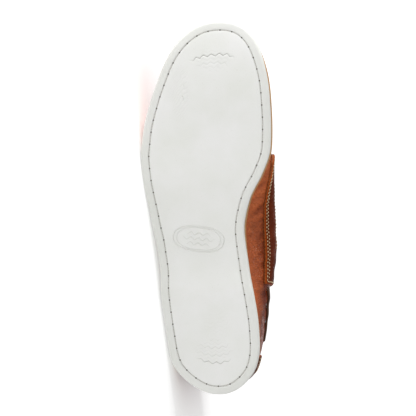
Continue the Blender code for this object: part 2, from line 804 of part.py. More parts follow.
def lay_down(pieces):
    """Turns the shoe onto its lateral side, on the flat patch of its hull under its centre of mass.

    The hull of all pieces has one lateral triangle that the centre of mass lies over. Its normal
    becomes straight down, the toe points to -X, and the lowest point lies on the floor.
    """
    hull = bmesh.new()
    mass, moment = 0.0, Vector((0, 0, 0))
    graph = bpy.context.evaluated_depsgraph_get()
    for piece in pieces:
        shape = piece.evaluated_get(graph).to_mesh()
        shape.calc_loop_triangles()
        corner = [v.co.copy() for v in shape.vertices]
        for tri in shape.loop_triangles:
            a, b, c = (corner[i] for i in tri.vertices)
            volume = a.dot(b.cross(c)) / 6
            mass += volume
            moment += volume * (a + b + c) / 4
        for point in corner:
            hull.verts.new(point)
    centre = moment / mass
    bmesh.ops.convex_hull(hull, input=hull.verts, use_existing_faces=False)
    best, best_area = None, 0.0
    for face in hull.faces:
        corners = [v.co for v in face.verts]
        normal = face.normal if face.normal.dot(corners[0] - centre) > 0 else -face.normal
        if normal.x < LEAST_SIDEWAYS:
            continue
        signs = []
        for a, b in zip(corners, corners[1:] + corners[:1]):
            signs.append((b - a).cross(centre - a).dot(normal))
        inside = all(s >= 0 for s in signs) or all(s <= 0 for s in signs)
        if inside and face.calc_area() > best_area:
            best, best_area = normal.copy(), face.calc_area()
    hull.free()
    down = best
    toe = Vector((0, 1, 0))
    toe = (toe - toe.dot(down) * down).normalized()
    across = down.cross(toe)
    turn = Matrix((-toe, across, -down))
    points = []
    for piece in pieces:
        shape = piece.evaluated_get(graph).to_mesh()
        points += [turn @ v.co for v in shape.vertices]
    low = Vector([min(p[i] for p in points) for i in range(3)])
    high = Vector([max(p[i] for p in points) for i in range(3)])
    middle = (low + high) / 2
    frame = bpy.data.objects.new("shoe_frame", None)
    bpy.context.scene.collection.objects.link(frame)
    frame.matrix_world = Matrix.Translation((-middle.x, -middle.y, -low.z)) @ turn.to_4x4()
    for item in bpy.data.objects:
        if item is not frame:
            item.parent = frame
    return frame


def main():
    """Builds the shoe."""
    for old in list(bpy.data.objects):
        bpy.data.objects.remove(old, do_unlink=True)
    rubber = material("sole_rubber", (0.78, 0.78, 0.76), 0.62)
    raw_edge = material("raw_leather_edge", (0.55, 0.33, 0.19), 0.70)
    leather = material("upper_leather", (0.20, 0.048, 0.014), 0.50)
    dark_leather = material("strap_leather", (0.11, 0.026, 0.009), 0.50)
    lining = material("lining_leather", (0.36, 0.20, 0.10), 0.75)
    lace = material("lace_leather", (0.07, 0.035, 0.018), 0.60)
    brass = material("eyelet_brass", (0.30, 0.19, 0.09), 0.40, 0.9)
    pieces = [
        build_outsole(rubber),
        build_midsole(raw_edge),
        build_insole(lining),
        build_upper(leather),
        build_tongue(leather),
        build_quarter_strap(MEDIAL, "quarter_strap_medial", dark_leather),
        build_quarter_strap(LATERAL, "quarter_strap_lateral", dark_leather),
        build_heel_counter(dark_leather),
    ]
    for side, word in ((MEDIAL, "medial"), (LATERAL, "lateral")):
        pieces.append(build_side_lace(f"lace_side_{word}", side, lace))
        pieces.append(build_heel_lace(f"lace_heel_{word}", side, lace))
    number = 1
    for along in EYELET_PLACES:
        for side in (MEDIAL, LATERAL):
            pieces.append(build_eyelet(f"eyelet_{number}", along, side, brass))
            number += 1
    pieces.append(build_front_lace(lace))
    lay_down(pieces)
    bpy.context.view_layer.update()


main()
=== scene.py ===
# %% [markdown]
# # A boat shoe on its side
# A boat shoe is a moccasin: soft oiled leather that wraps up round the foot, an apron sewn into it with
# a raised seam, straps with a leather lace along the sides, and a white rubber sole cut with fine wavy
# slits that grip a wet deck. The picture looks at the sole, so the sole and the strip of leather above
# it get the most care, and the rest is finished for the other views.
#
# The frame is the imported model. It is loaded first and never changed: every piece below is a finer
# surface over one of its solids.

# %% load the frame
import json
import math

import bmesh
import bpy
import numpy as np
from mathutils import Matrix, Vector


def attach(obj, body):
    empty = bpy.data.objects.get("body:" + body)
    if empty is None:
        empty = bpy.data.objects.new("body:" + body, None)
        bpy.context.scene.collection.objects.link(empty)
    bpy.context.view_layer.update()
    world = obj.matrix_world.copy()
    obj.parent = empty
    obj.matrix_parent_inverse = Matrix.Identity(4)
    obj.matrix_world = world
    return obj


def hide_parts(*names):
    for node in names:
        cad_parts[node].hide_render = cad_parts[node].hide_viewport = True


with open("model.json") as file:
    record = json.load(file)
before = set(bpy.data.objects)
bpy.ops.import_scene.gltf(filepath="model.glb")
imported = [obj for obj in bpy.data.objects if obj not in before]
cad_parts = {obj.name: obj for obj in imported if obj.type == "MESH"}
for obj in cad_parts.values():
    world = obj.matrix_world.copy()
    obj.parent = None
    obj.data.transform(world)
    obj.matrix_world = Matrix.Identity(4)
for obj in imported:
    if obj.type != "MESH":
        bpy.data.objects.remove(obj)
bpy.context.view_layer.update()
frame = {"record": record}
RECORD = frame["record"]

# %% [markdown]
# ## The shoe's own sizes
# A last is drawn in sections along the foot, so the shapes below are tables of sections, in the shoe's
# own frame: X to the lateral side, Y from heel to toe, Z up from the ground under the sole. They are the
# same numbers that the solids were made from, which keeps each finer surface on its solid.

# %% sizes and tables
MM = 0.001
LENGTH = 295 * MM
BALL_WIDTH = 104 * MM
HEEL_THICKNESS = 14 * MM
FOREFOOT_THICKNESS = 8 * MM
TOE_SPRING = 9 * MM
ARCH_RISE = 3 * MM
SOLE_DRAFT = 1.0 * MM
STITCH_INSET = 6.6 * MM
MIDSOLE_THICKNESS = 2.2 * MM
MIDSOLE_SETBACK = 0.4 * MM
INSOLE_THICKNESS = 3.0 * MM
LEDGE = 3.4 * MM
LAST_HEIGHT = 57 * MM
LAST_TIP_INSET = 4.2 * MM
RIDGE_LEAN = 4.0 * MM
WALL = 1.9 * MM
OVERLAY = 1.8 * MM
SEAM_HEIGHT = 1.8 * MM
TONGUE_THICKNESS = 3.2 * MM
TONGUE_HALF_WIDTH = 24.5 * MM
LACE_WIDTH = 3.4 * MM
LACE_THICKNESS = 2.0 * MM
EYELET_RADIUS = 4.2 * MM
EYELET_HOLE = 2.4 * MM
EYELET_THICKNESS = 1.0 * MM
GAP = 0.3 * MM
CURVED_GAP = 0.6 * MM
TOE_CENTRE, HEEL_CENTRE = 0.80, 0.15
FULLNESS, CROWN = 2.25, 2.1

OUTLINE = (  # along, centre, half
    (0.000, -0.030, 0.300), (0.070, -0.003, 0.350), (0.140, 0.012, 0.353), (0.205, 0.034, 0.360),
    (0.270, 0.061, 0.356), (0.335, 0.084, 0.343), (0.400, 0.112, 0.344), (0.462, 0.134, 0.360),
    (0.526, 0.129, 0.402), (0.590, 0.098, 0.464), (0.655, 0.071, 0.499), (0.720, 0.057, 0.491),
    (0.783, 0.038, 0.464), (0.847, 0.018, 0.430), (0.912, 0.006, 0.410), (1.000, -0.022, 0.398),
)
PROFILE = (  # along, rise, spring, thick
    (0.000, 0.0, 0.00, 1.00), (0.030, 0.0, 0.00, 1.00), (0.270, 0.0, 0.00, 1.00),
    (0.340, 0.8, 0.00, 0.78), (0.420, 1.0, 0.00, 0.50), (0.500, 0.6, 0.00, 0.25),
    (0.570, 0.0, 0.00, 0.08), (0.780, 0.0, 0.00, 0.00), (0.850, 0.0, 0.12, 0.00),
    (0.920, 0.0, 0.42, 0.00), (1.000, 0.0, 1.00, 0.00),
)
LAST = (  # along, centre, half, waist, ridge, seam
    (0.000, -0.024, 0.290, 0.30, 1.42, 27.0), (0.140, 0.002, 0.312, 0.34, 1.38, 25.0),
    (0.270, 0.000, 0.352, 0.42, 1.36, 23.0), (0.335, 0.000, 0.372, 0.44, 1.38, 24.0),
    (0.400, 0.008, 0.390, 0.44, 1.42, 29.0), (0.460, 0.021, 0.404, 0.40, 1.36, 38.0),
    (0.526, 0.038, 0.424, 0.33, 1.22, 47.0), (0.590, 0.054, 0.447, 0.26, 1.08, 53.0),
    (0.655, 0.060, 0.458, 0.22, 0.96, 56.0), (0.720, 0.056, 0.450, 0.20, 0.86, 57.0),
    (0.800, 0.038, 0.422, 0.19, 0.77, 57.0), (0.900, 0.006, 0.385, 0.18, 0.68, 57.0),
    (1.000, -0.018, 0.366, 0.17, 0.58, 57.0),
)
COLLAR = (  # along, reach
    (0.000, 0.800), (0.100, 0.820), (0.200, 0.865), (0.300, 0.870), (0.380, 0.815),
    (0.440, 0.700), (0.490, 0.580), (0.540, 0.480), (0.600, 0.420), (0.640, 0.400),
)
THROAT_ROUND, THROAT_FRONT, THROAT_FULLNESS = 0.600, 0.642, 2.4
BODY_STATIONS = (
    0.185, 0.225, 0.265, 0.305, 0.345, 0.385, 0.420, 0.455, 0.490, 0.525, 0.560,
    0.590, 0.612, 0.628, 0.637, 0.642, 0.668, 0.700, 0.735, 0.768,
)
END_STEPS = 8
SEAM_ROW, SEAM_HALF_WIDTH, SEAM_START, SEAM_FULL = 0.615, 0.045, 0.645, 0.668
STRAP_REAR, STRAP_FRONT, STRAP_SLANT, STRAP_NOSE, STRAP_TOP = 0.275, 0.650, 0.014, 0.026, 0.965
STRAP_EDGE = (  # along, row
    (0.250, -0.46), (0.330, -0.50), (0.460, -0.50), (0.560, -0.42), (0.620, -0.05), (0.660, 0.20),
)
COUNTER_FOOT, COUNTER_TOP, COUNTER_LOW, COUNTER_SPOKES = -0.93, 0.92, 0.12, 6
COUNTER_NARROW, COUNTER_WIDE = 1.0, 6.0
SIDE_WINDOW, WINDOW_HEIGHTS = (0.388, 0.560), (0.450, 0.532)
HEEL_LACE, HEEL_LACE_ROWS = (0.118, 0.262), (0.72, -0.02)
EYELET_PLACES, EYELET_SETBACK = (0.592, 0.530), 8.5 * MM
LACE_DIP, CROSSING = (0.30, 0.72), 0.8
TONGUE_SPAN, TONGUE_TIP = (0.440, 0.690), 0.38
LATERAL, MEDIAL = 1, -1
print("tables:", len(OUTLINE), "outline rows,", len(LAST), "last rows")

# %% [markdown]
# ## Reading the tables, and the last
# Between two rows of a table the value runs on a smooth cubic, so a surface has no kink at a section.
# A place round the shoe is one number: 0 at the heel's centre, 1 at the toe tip, positive on the lateral
# side. A row is the height on the wall: -1 at the feather edge, 0 at the widest line, 1 at the collar.

# %% smooth curves through the tables
def cubic(first, last, leaving, arriving, s):
    """A cubic from first at s = 0 to last at s = 1, with its slopes at both ends."""
    start = first * (2 * s**3 - 3 * s**2 + 1) + leaving * (s**3 - 2 * s**2 + s)
    return start + last * (3 * s**2 - 2 * s**3) + arriving * (s**3 - s**2)


def follow(table, index, along):
    """Cubic through the rows: the slope at a row is its neighbours' chord, and zero where they turn."""
    data = np.array(table, dtype=float)
    x, y = data[:, 0], data[:, index]
    step_all = np.diff(x)
    chord = np.diff(y) / step_all
    slope = np.zeros(len(x))
    mean = (chord[:-1] * step_all[1:] + chord[1:] * step_all[:-1]) / (x[2:] - x[:-2])
    least = 3 * np.minimum(abs(chord[:-1]), abs(chord[1:]))
    slope[1:-1] = np.where(chord[:-1] * chord[1:] > 0, np.sign(mean) * np.minimum(abs(mean), least), 0)
    slope[0], slope[-1] = chord[0], chord[-1]
    along = np.clip(np.asarray(along, dtype=float), x[0], x[-1])
    i = np.clip(np.searchsorted(x, along) - 1, 0, len(x) - 2)
    step = x[i + 1] - x[i]
    return cubic(y[i], y[i + 1], slope[i] * step, slope[i + 1] * step, (along - x[i]) / step)


def smooth_step(low, high, value):
    """0 below low, 1 above high, and 3 s squared minus 2 s cubed between."""
    s = np.clip((np.asarray(value, dtype=float) - low) / (high - low), 0, 1)
    return s * s * (3 - 2 * s)


def unit(vectors):
    """Vectors divided by their own lengths."""
    return vectors / np.linalg.norm(vectors, axis=-1)[..., None]


def run_length(path):
    """Distance travelled from a path's first point to each of its points."""
    return np.append(0, np.cumsum(np.linalg.norm(np.diff(path, axis=0), axis=1)))


def wrapped(place):
    """Places counted from 0 to 2 round the shoe, brought back to -1 to 1."""
    return np.where(place > 1, place - 2, place)


def ground(y):
    """Height of the tread: the arch's rise plus the toe's spring."""
    along = y / LENGTH
    return follow(PROFILE, 1, along) * ARCH_RISE + follow(PROFILE, 2, along) * TOE_SPRING


def sole_top(y):
    """Tread height plus the rubber's thickness there."""
    thick = follow(PROFILE, 3, y / LENGTH)
    return ground(y) + FOREFOOT_THICKNESS + thick * (HEEL_THICKNESS - FOREFOOT_THICKNESS)


def feather(y):
    """Height of the upper's lower edge: rubber, a gap, the leather layer and another gap."""
    return sole_top(y) + GAP + MIDSOLE_THICKNESS + GAP


# %% places round the shoe
def spokes():
    """Spokes of one side: two ends that fan out on a superellipse, and the body's stations between."""
    turn = np.linspace(0, math.pi / 2, END_STEPS + 1)
    power = 2 / FULLNESS
    along = np.concatenate([
        HEEL_CENTRE * (1 - np.cos(turn) ** power), BODY_STATIONS,
        TOE_CENTRE + (1 - TOE_CENTRE) * np.sin(turn) ** power,
    ])
    reach = np.concatenate([np.sin(turn) ** power, np.ones(len(BODY_STATIONS)), np.cos(turn) ** power])
    return along, np.clip(reach, 0, 1)


ALONG, REACH = spokes()
SIDE = len(ALONG) - 1


def signed_place(place):
    """Place to (along, reach): straight between the spokes in the body, on the superellipse at the ends."""
    count = abs(np.asarray(place, dtype=float)) * SIDE
    quarter = math.pi / 2 / END_STEPS
    heel_turn = np.clip(count, 0, END_STEPS) * quarter
    toe_turn = np.clip(count - SIDE + END_STEPS, 0, END_STEPS) * quarter
    power = 2 / FULLNESS
    body = np.interp(count, np.arange(SIDE + 1), ALONG)
    heel = HEEL_CENTRE * (1 - np.cos(heel_turn) ** power)
    toe = TOE_CENTRE + (1 - TOE_CENTRE) * np.sin(toe_turn) ** power
    along = np.where(count < END_STEPS, heel, np.where(count > SIDE - END_STEPS, toe, body))
    reach = np.sin(heel_turn) ** power * np.clip(np.cos(toe_turn), 0, 1) ** power
    return along, reach * np.where(np.asarray(place) < 0, -1, 1)


def place_at(along, side):
    """Place of a share of the length on one side."""
    return side * np.interp(along, ALONG, np.arange(SIDE + 1)) / SIDE


def sole_plan(along, reach):
    """Ground outline: centre plus reach times half, and along times the length."""
    x = (follow(OUTLINE, 1, along) + reach * follow(OUTLINE, 2, along)) * BALL_WIDTH
    return np.stack([x, along * LENGTH], axis=-1)


def inset(loop, distance):
    """Moves a closed plan loop inwards along its normal, which is its run turned by a quarter."""
    run = unit(np.roll(loop, -1, axis=0) - np.roll(loop, 1, axis=0))
    away = np.stack([run[:, 1], -run[:, 0]], axis=1)
    if np.sum((loop - loop.mean(axis=0)) * away) < 0:
        away = -away
    return loop - away * distance


# %% the last
def last_plan(along, reach, scale):
    """Widest plan drawn towards the spine by scale, with the crown leaning to the medial side."""
    end = np.where(along > TOE_CENTRE, TOE_CENTRE, np.where(along < HEEL_CENTRE, HEEL_CENTRE, along))
    inner, side = end + (along - end) * scale, reach * scale
    x = (follow(LAST, 1, inner) + side * follow(LAST, 2, inner)) * BALL_WIDTH - RIDGE_LEAN * (1 - scale)
    low = LAST_TIP_INSET / LENGTH
    return x, (low + inner * (1 - 2 * low)) * LENGTH, inner


def row_angle(along, row):
    """Row 0 to 1 as an angle in the section: even up to the seam, and even again up to the collar."""
    reach = follow(COLLAR, 1, along)
    ahead = np.clip((along - THROAT_ROUND) / (THROAT_FRONT - THROAT_ROUND), 0, 1)
    reach = reach * np.clip(1 - ahead**THROAT_FULLNESS, 0, 1) ** (1 / THROAT_FULLNESS)
    top = np.arccos(np.clip(reach, 0, 1) ** (FULLNESS / 2))
    seam = np.radians(follow(LAST, 5, along))
    above = seam + (top - seam) * (row - SEAM_ROW) / (1 - SEAM_ROW)
    return np.where(row <= SEAM_ROW, seam * row / SEAM_ROW, above)


def crown_point(along, reach, angle):
    """Over the widest line: the plan shrinks with the cosine and the height grows with the sine."""
    scale = np.clip(np.cos(angle), 0, 1) ** (2 / FULLNESS)
    x, y, inner = last_plan(along, reach, scale)
    base = feather(along * LENGTH) + follow(LAST, 3, along) * LAST_HEIGHT
    top = feather(inner * LENGTH) + follow(LAST, 4, inner) * LAST_HEIGHT
    return np.stack([x, y, base + (top - base) * np.sin(angle) ** (2 / CROWN)], axis=-1)


SPOKE_LOOP = sole_plan(np.append(ALONG, ALONG[-2:0:-1]), np.append(REACH, -REACH[-2:0:-1]))
FEATHER_LOOP = inset(SPOKE_LOOP, LEDGE)


def feather_at(place):
    """The feather edge's plan: a cubic through the loop's points."""
    count = np.mod(np.asarray(place, dtype=float) * SIDE, 2 * SIDE)
    index = np.floor(count).astype(int)
    s = (count - index)[..., None]
    before, start, stop, after = (FEATHER_LOOP[(index + k) % (2 * SIDE)] for k in (-1, 0, 1, 2))
    return cubic(start, stop, (stop - before) / 2, (after - start) / 2, s)


def last_point(place, row):
    """The upper's outer face: a parabola out from the feather edge, then the last's crown."""
    place, row = np.broadcast_arrays(np.asarray(place, dtype=float), np.asarray(row, dtype=float))
    along, reach = signed_place(place)
    x, y, _ = last_plan(along, reach, np.ones_like(along))
    plan = feather_at(place)
    share = np.minimum(row, 0) + 1
    out = (2 * share - share**2)[..., None]
    flat = plan + (np.stack([x, y], axis=-1) - plan) * out
    low = feather(plan[..., 1])
    widest = feather(along * LENGTH) + follow(LAST, 3, along) * LAST_HEIGHT
    foot = np.concatenate([flat, (low + (widest - low) * share)[..., None]], axis=-1)
    high = crown_point(along, reach, row_angle(along, np.maximum(row, 0)))
    return np.where((row < 0)[..., None], foot, high)


def last_normal(place, row, step=0.004):
    """Outward normal of the last: the cross of two short differences."""
    place, row = np.broadcast_arrays(np.asarray(place, dtype=float), np.asarray(row, dtype=float))
    run = last_point(place + step, row) - last_point(place - step, row)
    rise = last_point(place, np.minimum(row + step, 1)) - last_point(place, row - step)
    return unit(np.cross(run, rise))


print("last: ball", round(float(last_point(place_at(0.655, LATERAL), 0.0)[0]) / MM, 1), "mm to the side")

# %% [markdown]
# ## From the shoe's frame to the floor
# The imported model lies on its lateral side. Its two flat mounts under the heel and the ball say where
# the sole is, so the turn is worked out from them: the ground normal is one axis, and the line from heel
# to ball fixes the other two. Every point is turned in the mesh itself, and the objects stay unmoved.

# %% the turn onto the side
def frame_of(first, second, up):
    """Three unit vectors: the line from first to second made square to up, the side, and up."""
    ahead = second - first
    ahead = ahead - up * np.dot(ahead, up)
    ahead /= np.linalg.norm(ahead)
    return np.stack([ahead, np.cross(up, ahead), up], axis=1)


def sole_spot(along):
    """The middle of the tread at a share of the length."""
    return np.array([float(follow(OUTLINE, 1, along)) * BALL_WIDTH, along * LENGTH, 0.0])


SPOTS = {mount["name"]: np.array(mount["pos_m"]) for mount in RECORD["mounts"]}
UP = -np.array(RECORD["mounts"][0]["axis"], dtype=float)
UP /= np.linalg.norm(UP)
HEEL_SPOT, BALL_SPOT = sole_spot(0.15), sole_spot(0.67)
TURN = frame_of(SPOTS["heel_ground"], SPOTS["forefoot_ground"], UP)
TURN = TURN @ frame_of(HEEL_SPOT, BALL_SPOT, np.array([0.0, 0.0, 1.0])).T
SHIFT = SPOTS["heel_ground"] - TURN @ HEEL_SPOT


def lie_down(points):
    """Shoe frame to the floor's frame: turn, then shift."""
    return np.asarray(points) @ TURN.T + SHIFT


print("turn:", TURN.round(4).tolist(), "shift:", SHIFT.round(5).tolist())

# %% [markdown]
# ## Meshes from grids
# Every surface is a grid of points, so one helper makes them all: it numbers the grid, makes a quad for
# each cell, and joins the first and last row or column where a surface closes on itself. Each mesh also
# keeps its points in the shoe's frame as an attribute, because grain and dirt follow the shoe, and a
# run-and-rise map in metres, because a stitch or a wrinkle follows the seam it belongs to.

# %% grids into meshes
def cells(rows, columns, wrap_rows=False, wrap_columns=False):
    """Corner numbers of each cell of a grid, as an array of quads."""
    i = np.arange(rows if wrap_rows else rows - 1)
    j = np.arange(columns if wrap_columns else columns - 1)
    i, j = (a.ravel() for a in np.meshgrid(i, j, indexing="ij"))
    up, right = (i + 1) % rows, (j + 1) % columns
    return np.stack([i * columns + j, i * columns + right, up * columns + right, up * columns + j], axis=1)


def run_and_rise(grid):
    """Distances in metres along the rows and up the columns, as the piece's own map."""
    run = np.zeros(grid.shape[:2])
    rise = np.zeros(grid.shape[:2])
    run[:, 1:] = np.cumsum(np.linalg.norm(np.diff(grid, axis=1), axis=-1), axis=1)
    rise[1:] = np.cumsum(np.linalg.norm(np.diff(grid, axis=0), axis=-1), axis=0)
    return np.stack([run, rise], axis=-1)


def set_layer(mesh, name, kind, values):
    """Stores one value for each vertex under a name that a material can read."""
    layer = mesh.attributes.new(name, kind, "POINT")
    layer.data.foreach_set("vector" if kind == "FLOAT_VECTOR" else "value", np.ravel(values).astype("f"))


def make_piece(name, points, quads, finishes, marks=None, slots=None, maps=None, weld=0.0, sharp=None):
    """Puts arrays of points and faces into a mesh object that lies on the floor.

    marks holds one number for each point under each name, slots one finish number for each face, and
    maps the run and rise of each point. weld merges points that are nearer than it.
    """
    mesh = bpy.data.meshes.new(name)
    points = np.asarray(points, dtype=float).reshape(-1, 3)
    mesh.from_pydata(lie_down(points), [], quads)
    set_layer(mesh, "shoe", "FLOAT_VECTOR", points)
    flat = np.zeros((len(points), 3))
    if maps is not None:
        flat[:, :2] = np.asarray(maps).reshape(-1, 2)
    set_layer(mesh, "run", "FLOAT_VECTOR", flat)
    for word, values in (marks or {}).items():
        set_layer(mesh, word, "FLOAT", values)
    for finish in finishes:
        mesh.materials.append(finish)
    if slots is not None:
        mesh.polygons.foreach_set("material_index", np.asarray(slots, dtype=np.int32))
    tidy = bmesh.new()
    tidy.from_mesh(mesh)
    if weld:
        bmesh.ops.remove_doubles(tidy, verts=tidy.verts, dist=weld)
    bmesh.ops.dissolve_degenerate(tidy, edges=tidy.edges, dist=1e-7)
    tidy.to_mesh(mesh)
    tidy.free()
    mesh.shade_smooth()
    if sharp:
        mesh.set_sharp_from_angle(angle=math.radians(sharp))
    piece = bpy.data.objects.new(name, mesh)
    bpy.context.scene.collection.objects.link(piece)
    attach(piece, "root")
    PIECES.append(piece)
    return piece


def outward(points, quads):
    """Turns all faces of a closed surface round if its signed volume is negative."""
    a, b, c, d = (points[quads[:, k]] for k in range(4))
    volume = np.einsum("ij,ij->", a, np.cross(b, c)) + np.einsum("ij,ij->", a, np.cross(c, d))
    return quads if volume > 0 else quads[:, ::-1]


def closed_faces(grid, wrap_rows=False):
    """Faces of a grid that closes along its columns, turned to face outwards."""
    return outward(grid.reshape(-1, 3), cells(*grid.shape[:2], wrap_rows=wrap_rows, wrap_columns=True))


def capped(rings):
    """Rings with a ring drawn together to one point added at each end."""
    first, last = (np.broadcast_to(rings[k].mean(axis=0), rings[:1].shape) for k in (0, -1))
    return np.concatenate([first, rings, last])


def copies(quads, count, size):
    """The faces of one small form, repeated for count forms that have size points each."""
    return (quads[None] + (np.arange(count) * size)[:, None, None]).reshape(-1, 4)


def sheet(over, under, keep):
    """A closed sheet between two equal grids: its points, its faces, and 0 for the top's, 1 for the rest.

    keep says which of the grid's cells belong to it, so that a window gets a rim of its own.
    """
    total = over[..., 0].size
    top = cells(*over.shape[:2])[keep.ravel()]
    edges = np.concatenate([top[:, [k, (k + 1) % 4]] for k in range(4)])
    free = edges[~np.isin(edges[:, 0] * total + edges[:, 1], edges[:, 1] * total + edges[:, 0])]
    rim = np.stack([free[:, 1], free[:, 0], free[:, 0] + total, free[:, 1] + total], axis=1)
    points = np.concatenate([over.reshape(-1, 3), under.reshape(-1, 3)])
    faces = np.concatenate([top, top[:, ::-1] + total, rim])
    slots = np.concatenate([np.zeros(len(top)), np.ones(len(faces) - len(top))])
    return points, outward(points, faces), slots


PIECES = []
print("grid helpers ready")

# %% [markdown]
# ## Materials by recipe
# A finish is made from a few steps: where on the piece we are, one or more noises at the grain's own
# size, a mix of colours, a roughness and a bump. The helpers below only shorten the writing of nodes.

# %% recipe helpers
class Recipe:
    """A Principled material and short names for the nodes that feed it."""

    def __init__(self, name, base, roughness, **settings):
        self.material = bpy.data.materials.new(name)
        self.material.use_nodes = True
        self.tree = self.material.node_tree
        self.shader = self.tree.nodes["Principled BSDF"]
        self.shader.inputs["Base Color"].default_value = (*base, 1)
        self.shader.inputs["Roughness"].default_value = roughness
        for word, value in settings.items():
            self.shader.inputs[word.replace("_", " ")].default_value = value

    def feed(self, socket, value):
        """Links a socket, or sets it where the value is a plain number or colour."""
        if isinstance(value, bpy.types.NodeSocket):
            self.tree.links.new(value, socket)
        elif isinstance(value, tuple) and len(value) == 3 and socket.type == "RGBA":
            socket.default_value = (*value, 1)
        else:
            socket.default_value = value

    def node(self, kind, inputs, out=0, **settings):
        """Adds a node, sets its properties, feeds its inputs and gives one output."""
        made = self.tree.nodes.new(kind)
        for word, value in settings.items():
            setattr(made, word, value)
        for key, value in inputs.items():
            self.feed(made.inputs[key], value)
        return made.outputs[out]

    def sum(self, operation, a, b=0.0, c=0.0):
        """One step of arithmetic."""
        return self.node("ShaderNodeMath", {0: a, 1: b, 2: c}, operation=operation)

    def mark(self, name, out="Fac"):
        """Reads a value that the mesh keeps for each point."""
        return self.node("ShaderNodeAttribute", {}, out=out, attribute_name=name)

    def stretched(self, vector, scale):
        """Scales a vector differently along its three axes."""
        return self.node("ShaderNodeMapping", {"Vector": vector, "Scale": scale})

    def noise(self, vector, scale, detail=3.0, rough=0.5, warp=0.0):
        """A cloudy pattern, scale features to the metre."""
        inputs = {"Vector": vector, "Scale": scale, "Detail": detail}
        return self.node("ShaderNodeTexNoise", {**inputs, "Roughness": rough, "Distortion": warp})

    def pebbles(self, vector, scale):
        """Distance to the border of a rounded cell, scale cells to the metre."""
        inputs = {"Vector": vector, "Scale": scale}
        return self.node("ShaderNodeTexVoronoi", inputs, feature="DISTANCE_TO_EDGE")

    def between(self, value, low, high, first=0.0, last=1.0):
        """Maps a range of a value to another range, and stops at its ends."""
        inputs = {"Value": value, "From Min": low, "From Max": high, "To Min": first, "To Max": last}
        return self.node("ShaderNodeMapRange", inputs, clamp=True)

    def mix(self, share, first, second):
        """Mixes two colours."""
        made = self.tree.nodes.new("ShaderNodeMix")
        made.data_type = "RGBA"
        for index, value in ((0, share), (6, first), (7, second)):
            self.feed(made.inputs[index], value)
        return made.outputs[2]

    def tint(self, colour, tone, share, strength):
        """Lays a tone over a colour by share, which strength makes weaker."""
        return self.mix(self.sum("MULTIPLY", share, strength), colour, tone)

    def bump(self, height, distance, strength=1.0, under=None):
        """A bump of that height in metres, on top of another."""
        inputs = {"Height": height, "Distance": distance, "Strength": strength}
        if under is not None:
            inputs["Normal"] = under
        return self.node("ShaderNodeBump", inputs)

    def finish(self, colour=None, roughness=None, normal=None):
        """Feeds the shader."""
        for word, value in (("Base Color", colour), ("Roughness", roughness), ("Normal", normal)):
            if value is not None:
                self.feed(self.shader.inputs[word], value)
        return self.material


def paint(red, green, blue):
    """A colour read off as three numbers up to 255, as the shader wants it: straight light amounts."""
    share = np.array([red, green, blue]) / 255
    bright = ((share + 0.055) / 1.055) ** 2.4
    return tuple(float(v) for v in np.where(share <= 0.04045, share / 12.92, bright))


print("paper white is", paint(255, 255, 255))

# %% [markdown]
# ## White rubber
# The sole is moulded rubber with a dull skin. It is not one white: painted shade darkens it a little across
# the waist, dirt and painted shade darken the cut slits and the stitch channel, and the margin outside the
# stitches has a fine hatching from the mould. The mesh marks where the margin and the cuts are.

# %% rubber
def white_rubber():
    """Cloudy warm white, with painted shade across the waist, darker with dirt and painted shade where marked
    as a cut, and fine mould hatching on the margin.
    """
    r = Recipe("white_rubber", paint(233, 233, 230), 0.55, Specular_IOR_Level=0.35)
    shoe = r.mark("shoe", "Vector")
    clouds = r.noise(shoe, 28.0, 4.0, 0.55)
    colour = r.mix(r.between(clouds, 0.35, 0.68), paint(232, 232, 230), paint(226, 227, 222))
    margin = r.mark("margin")
    colour = r.tint(colour, paint(220, 221, 215), margin, 0.55)
    # painted shade: the rubber is tinted darker across the arch, where it rises off the ground
    colour = r.tint(colour, paint(220, 221, 216), r.mark("waist"), 0.2)
    specks = r.between(r.noise(shoe, 900.0, 2.0, 0.6), 0.62, 0.78)
    colour = r.tint(colour, paint(150, 146, 136), specks, 0.12)
    # dirt and painted shade: the cut slits and the channel's groove are mixed towards dark grey by the cut
    # mark
    colour = r.mix(r.mark("cut"), colour, paint(120, 116, 108))
    hatch = r.noise(r.stretched(r.mark("run", "Vector"), (1900.0, 260.0, 1.0)), 1.0, 2.0, 0.5)
    hatch = r.sum("MULTIPLY", hatch, margin)
    skin = r.noise(shoe, 2600.0, 2.0, 0.5)
    normal = r.bump(skin, 0.00003, 0.5)
    normal = r.bump(hatch, 0.00016, 0.8, normal)
    rough = r.between(clouds, 0.3, 0.7, 0.5, 0.64)
    return r.finish(colour, rough, normal)


RUBBER = white_rubber()
print("made", RUBBER.name)
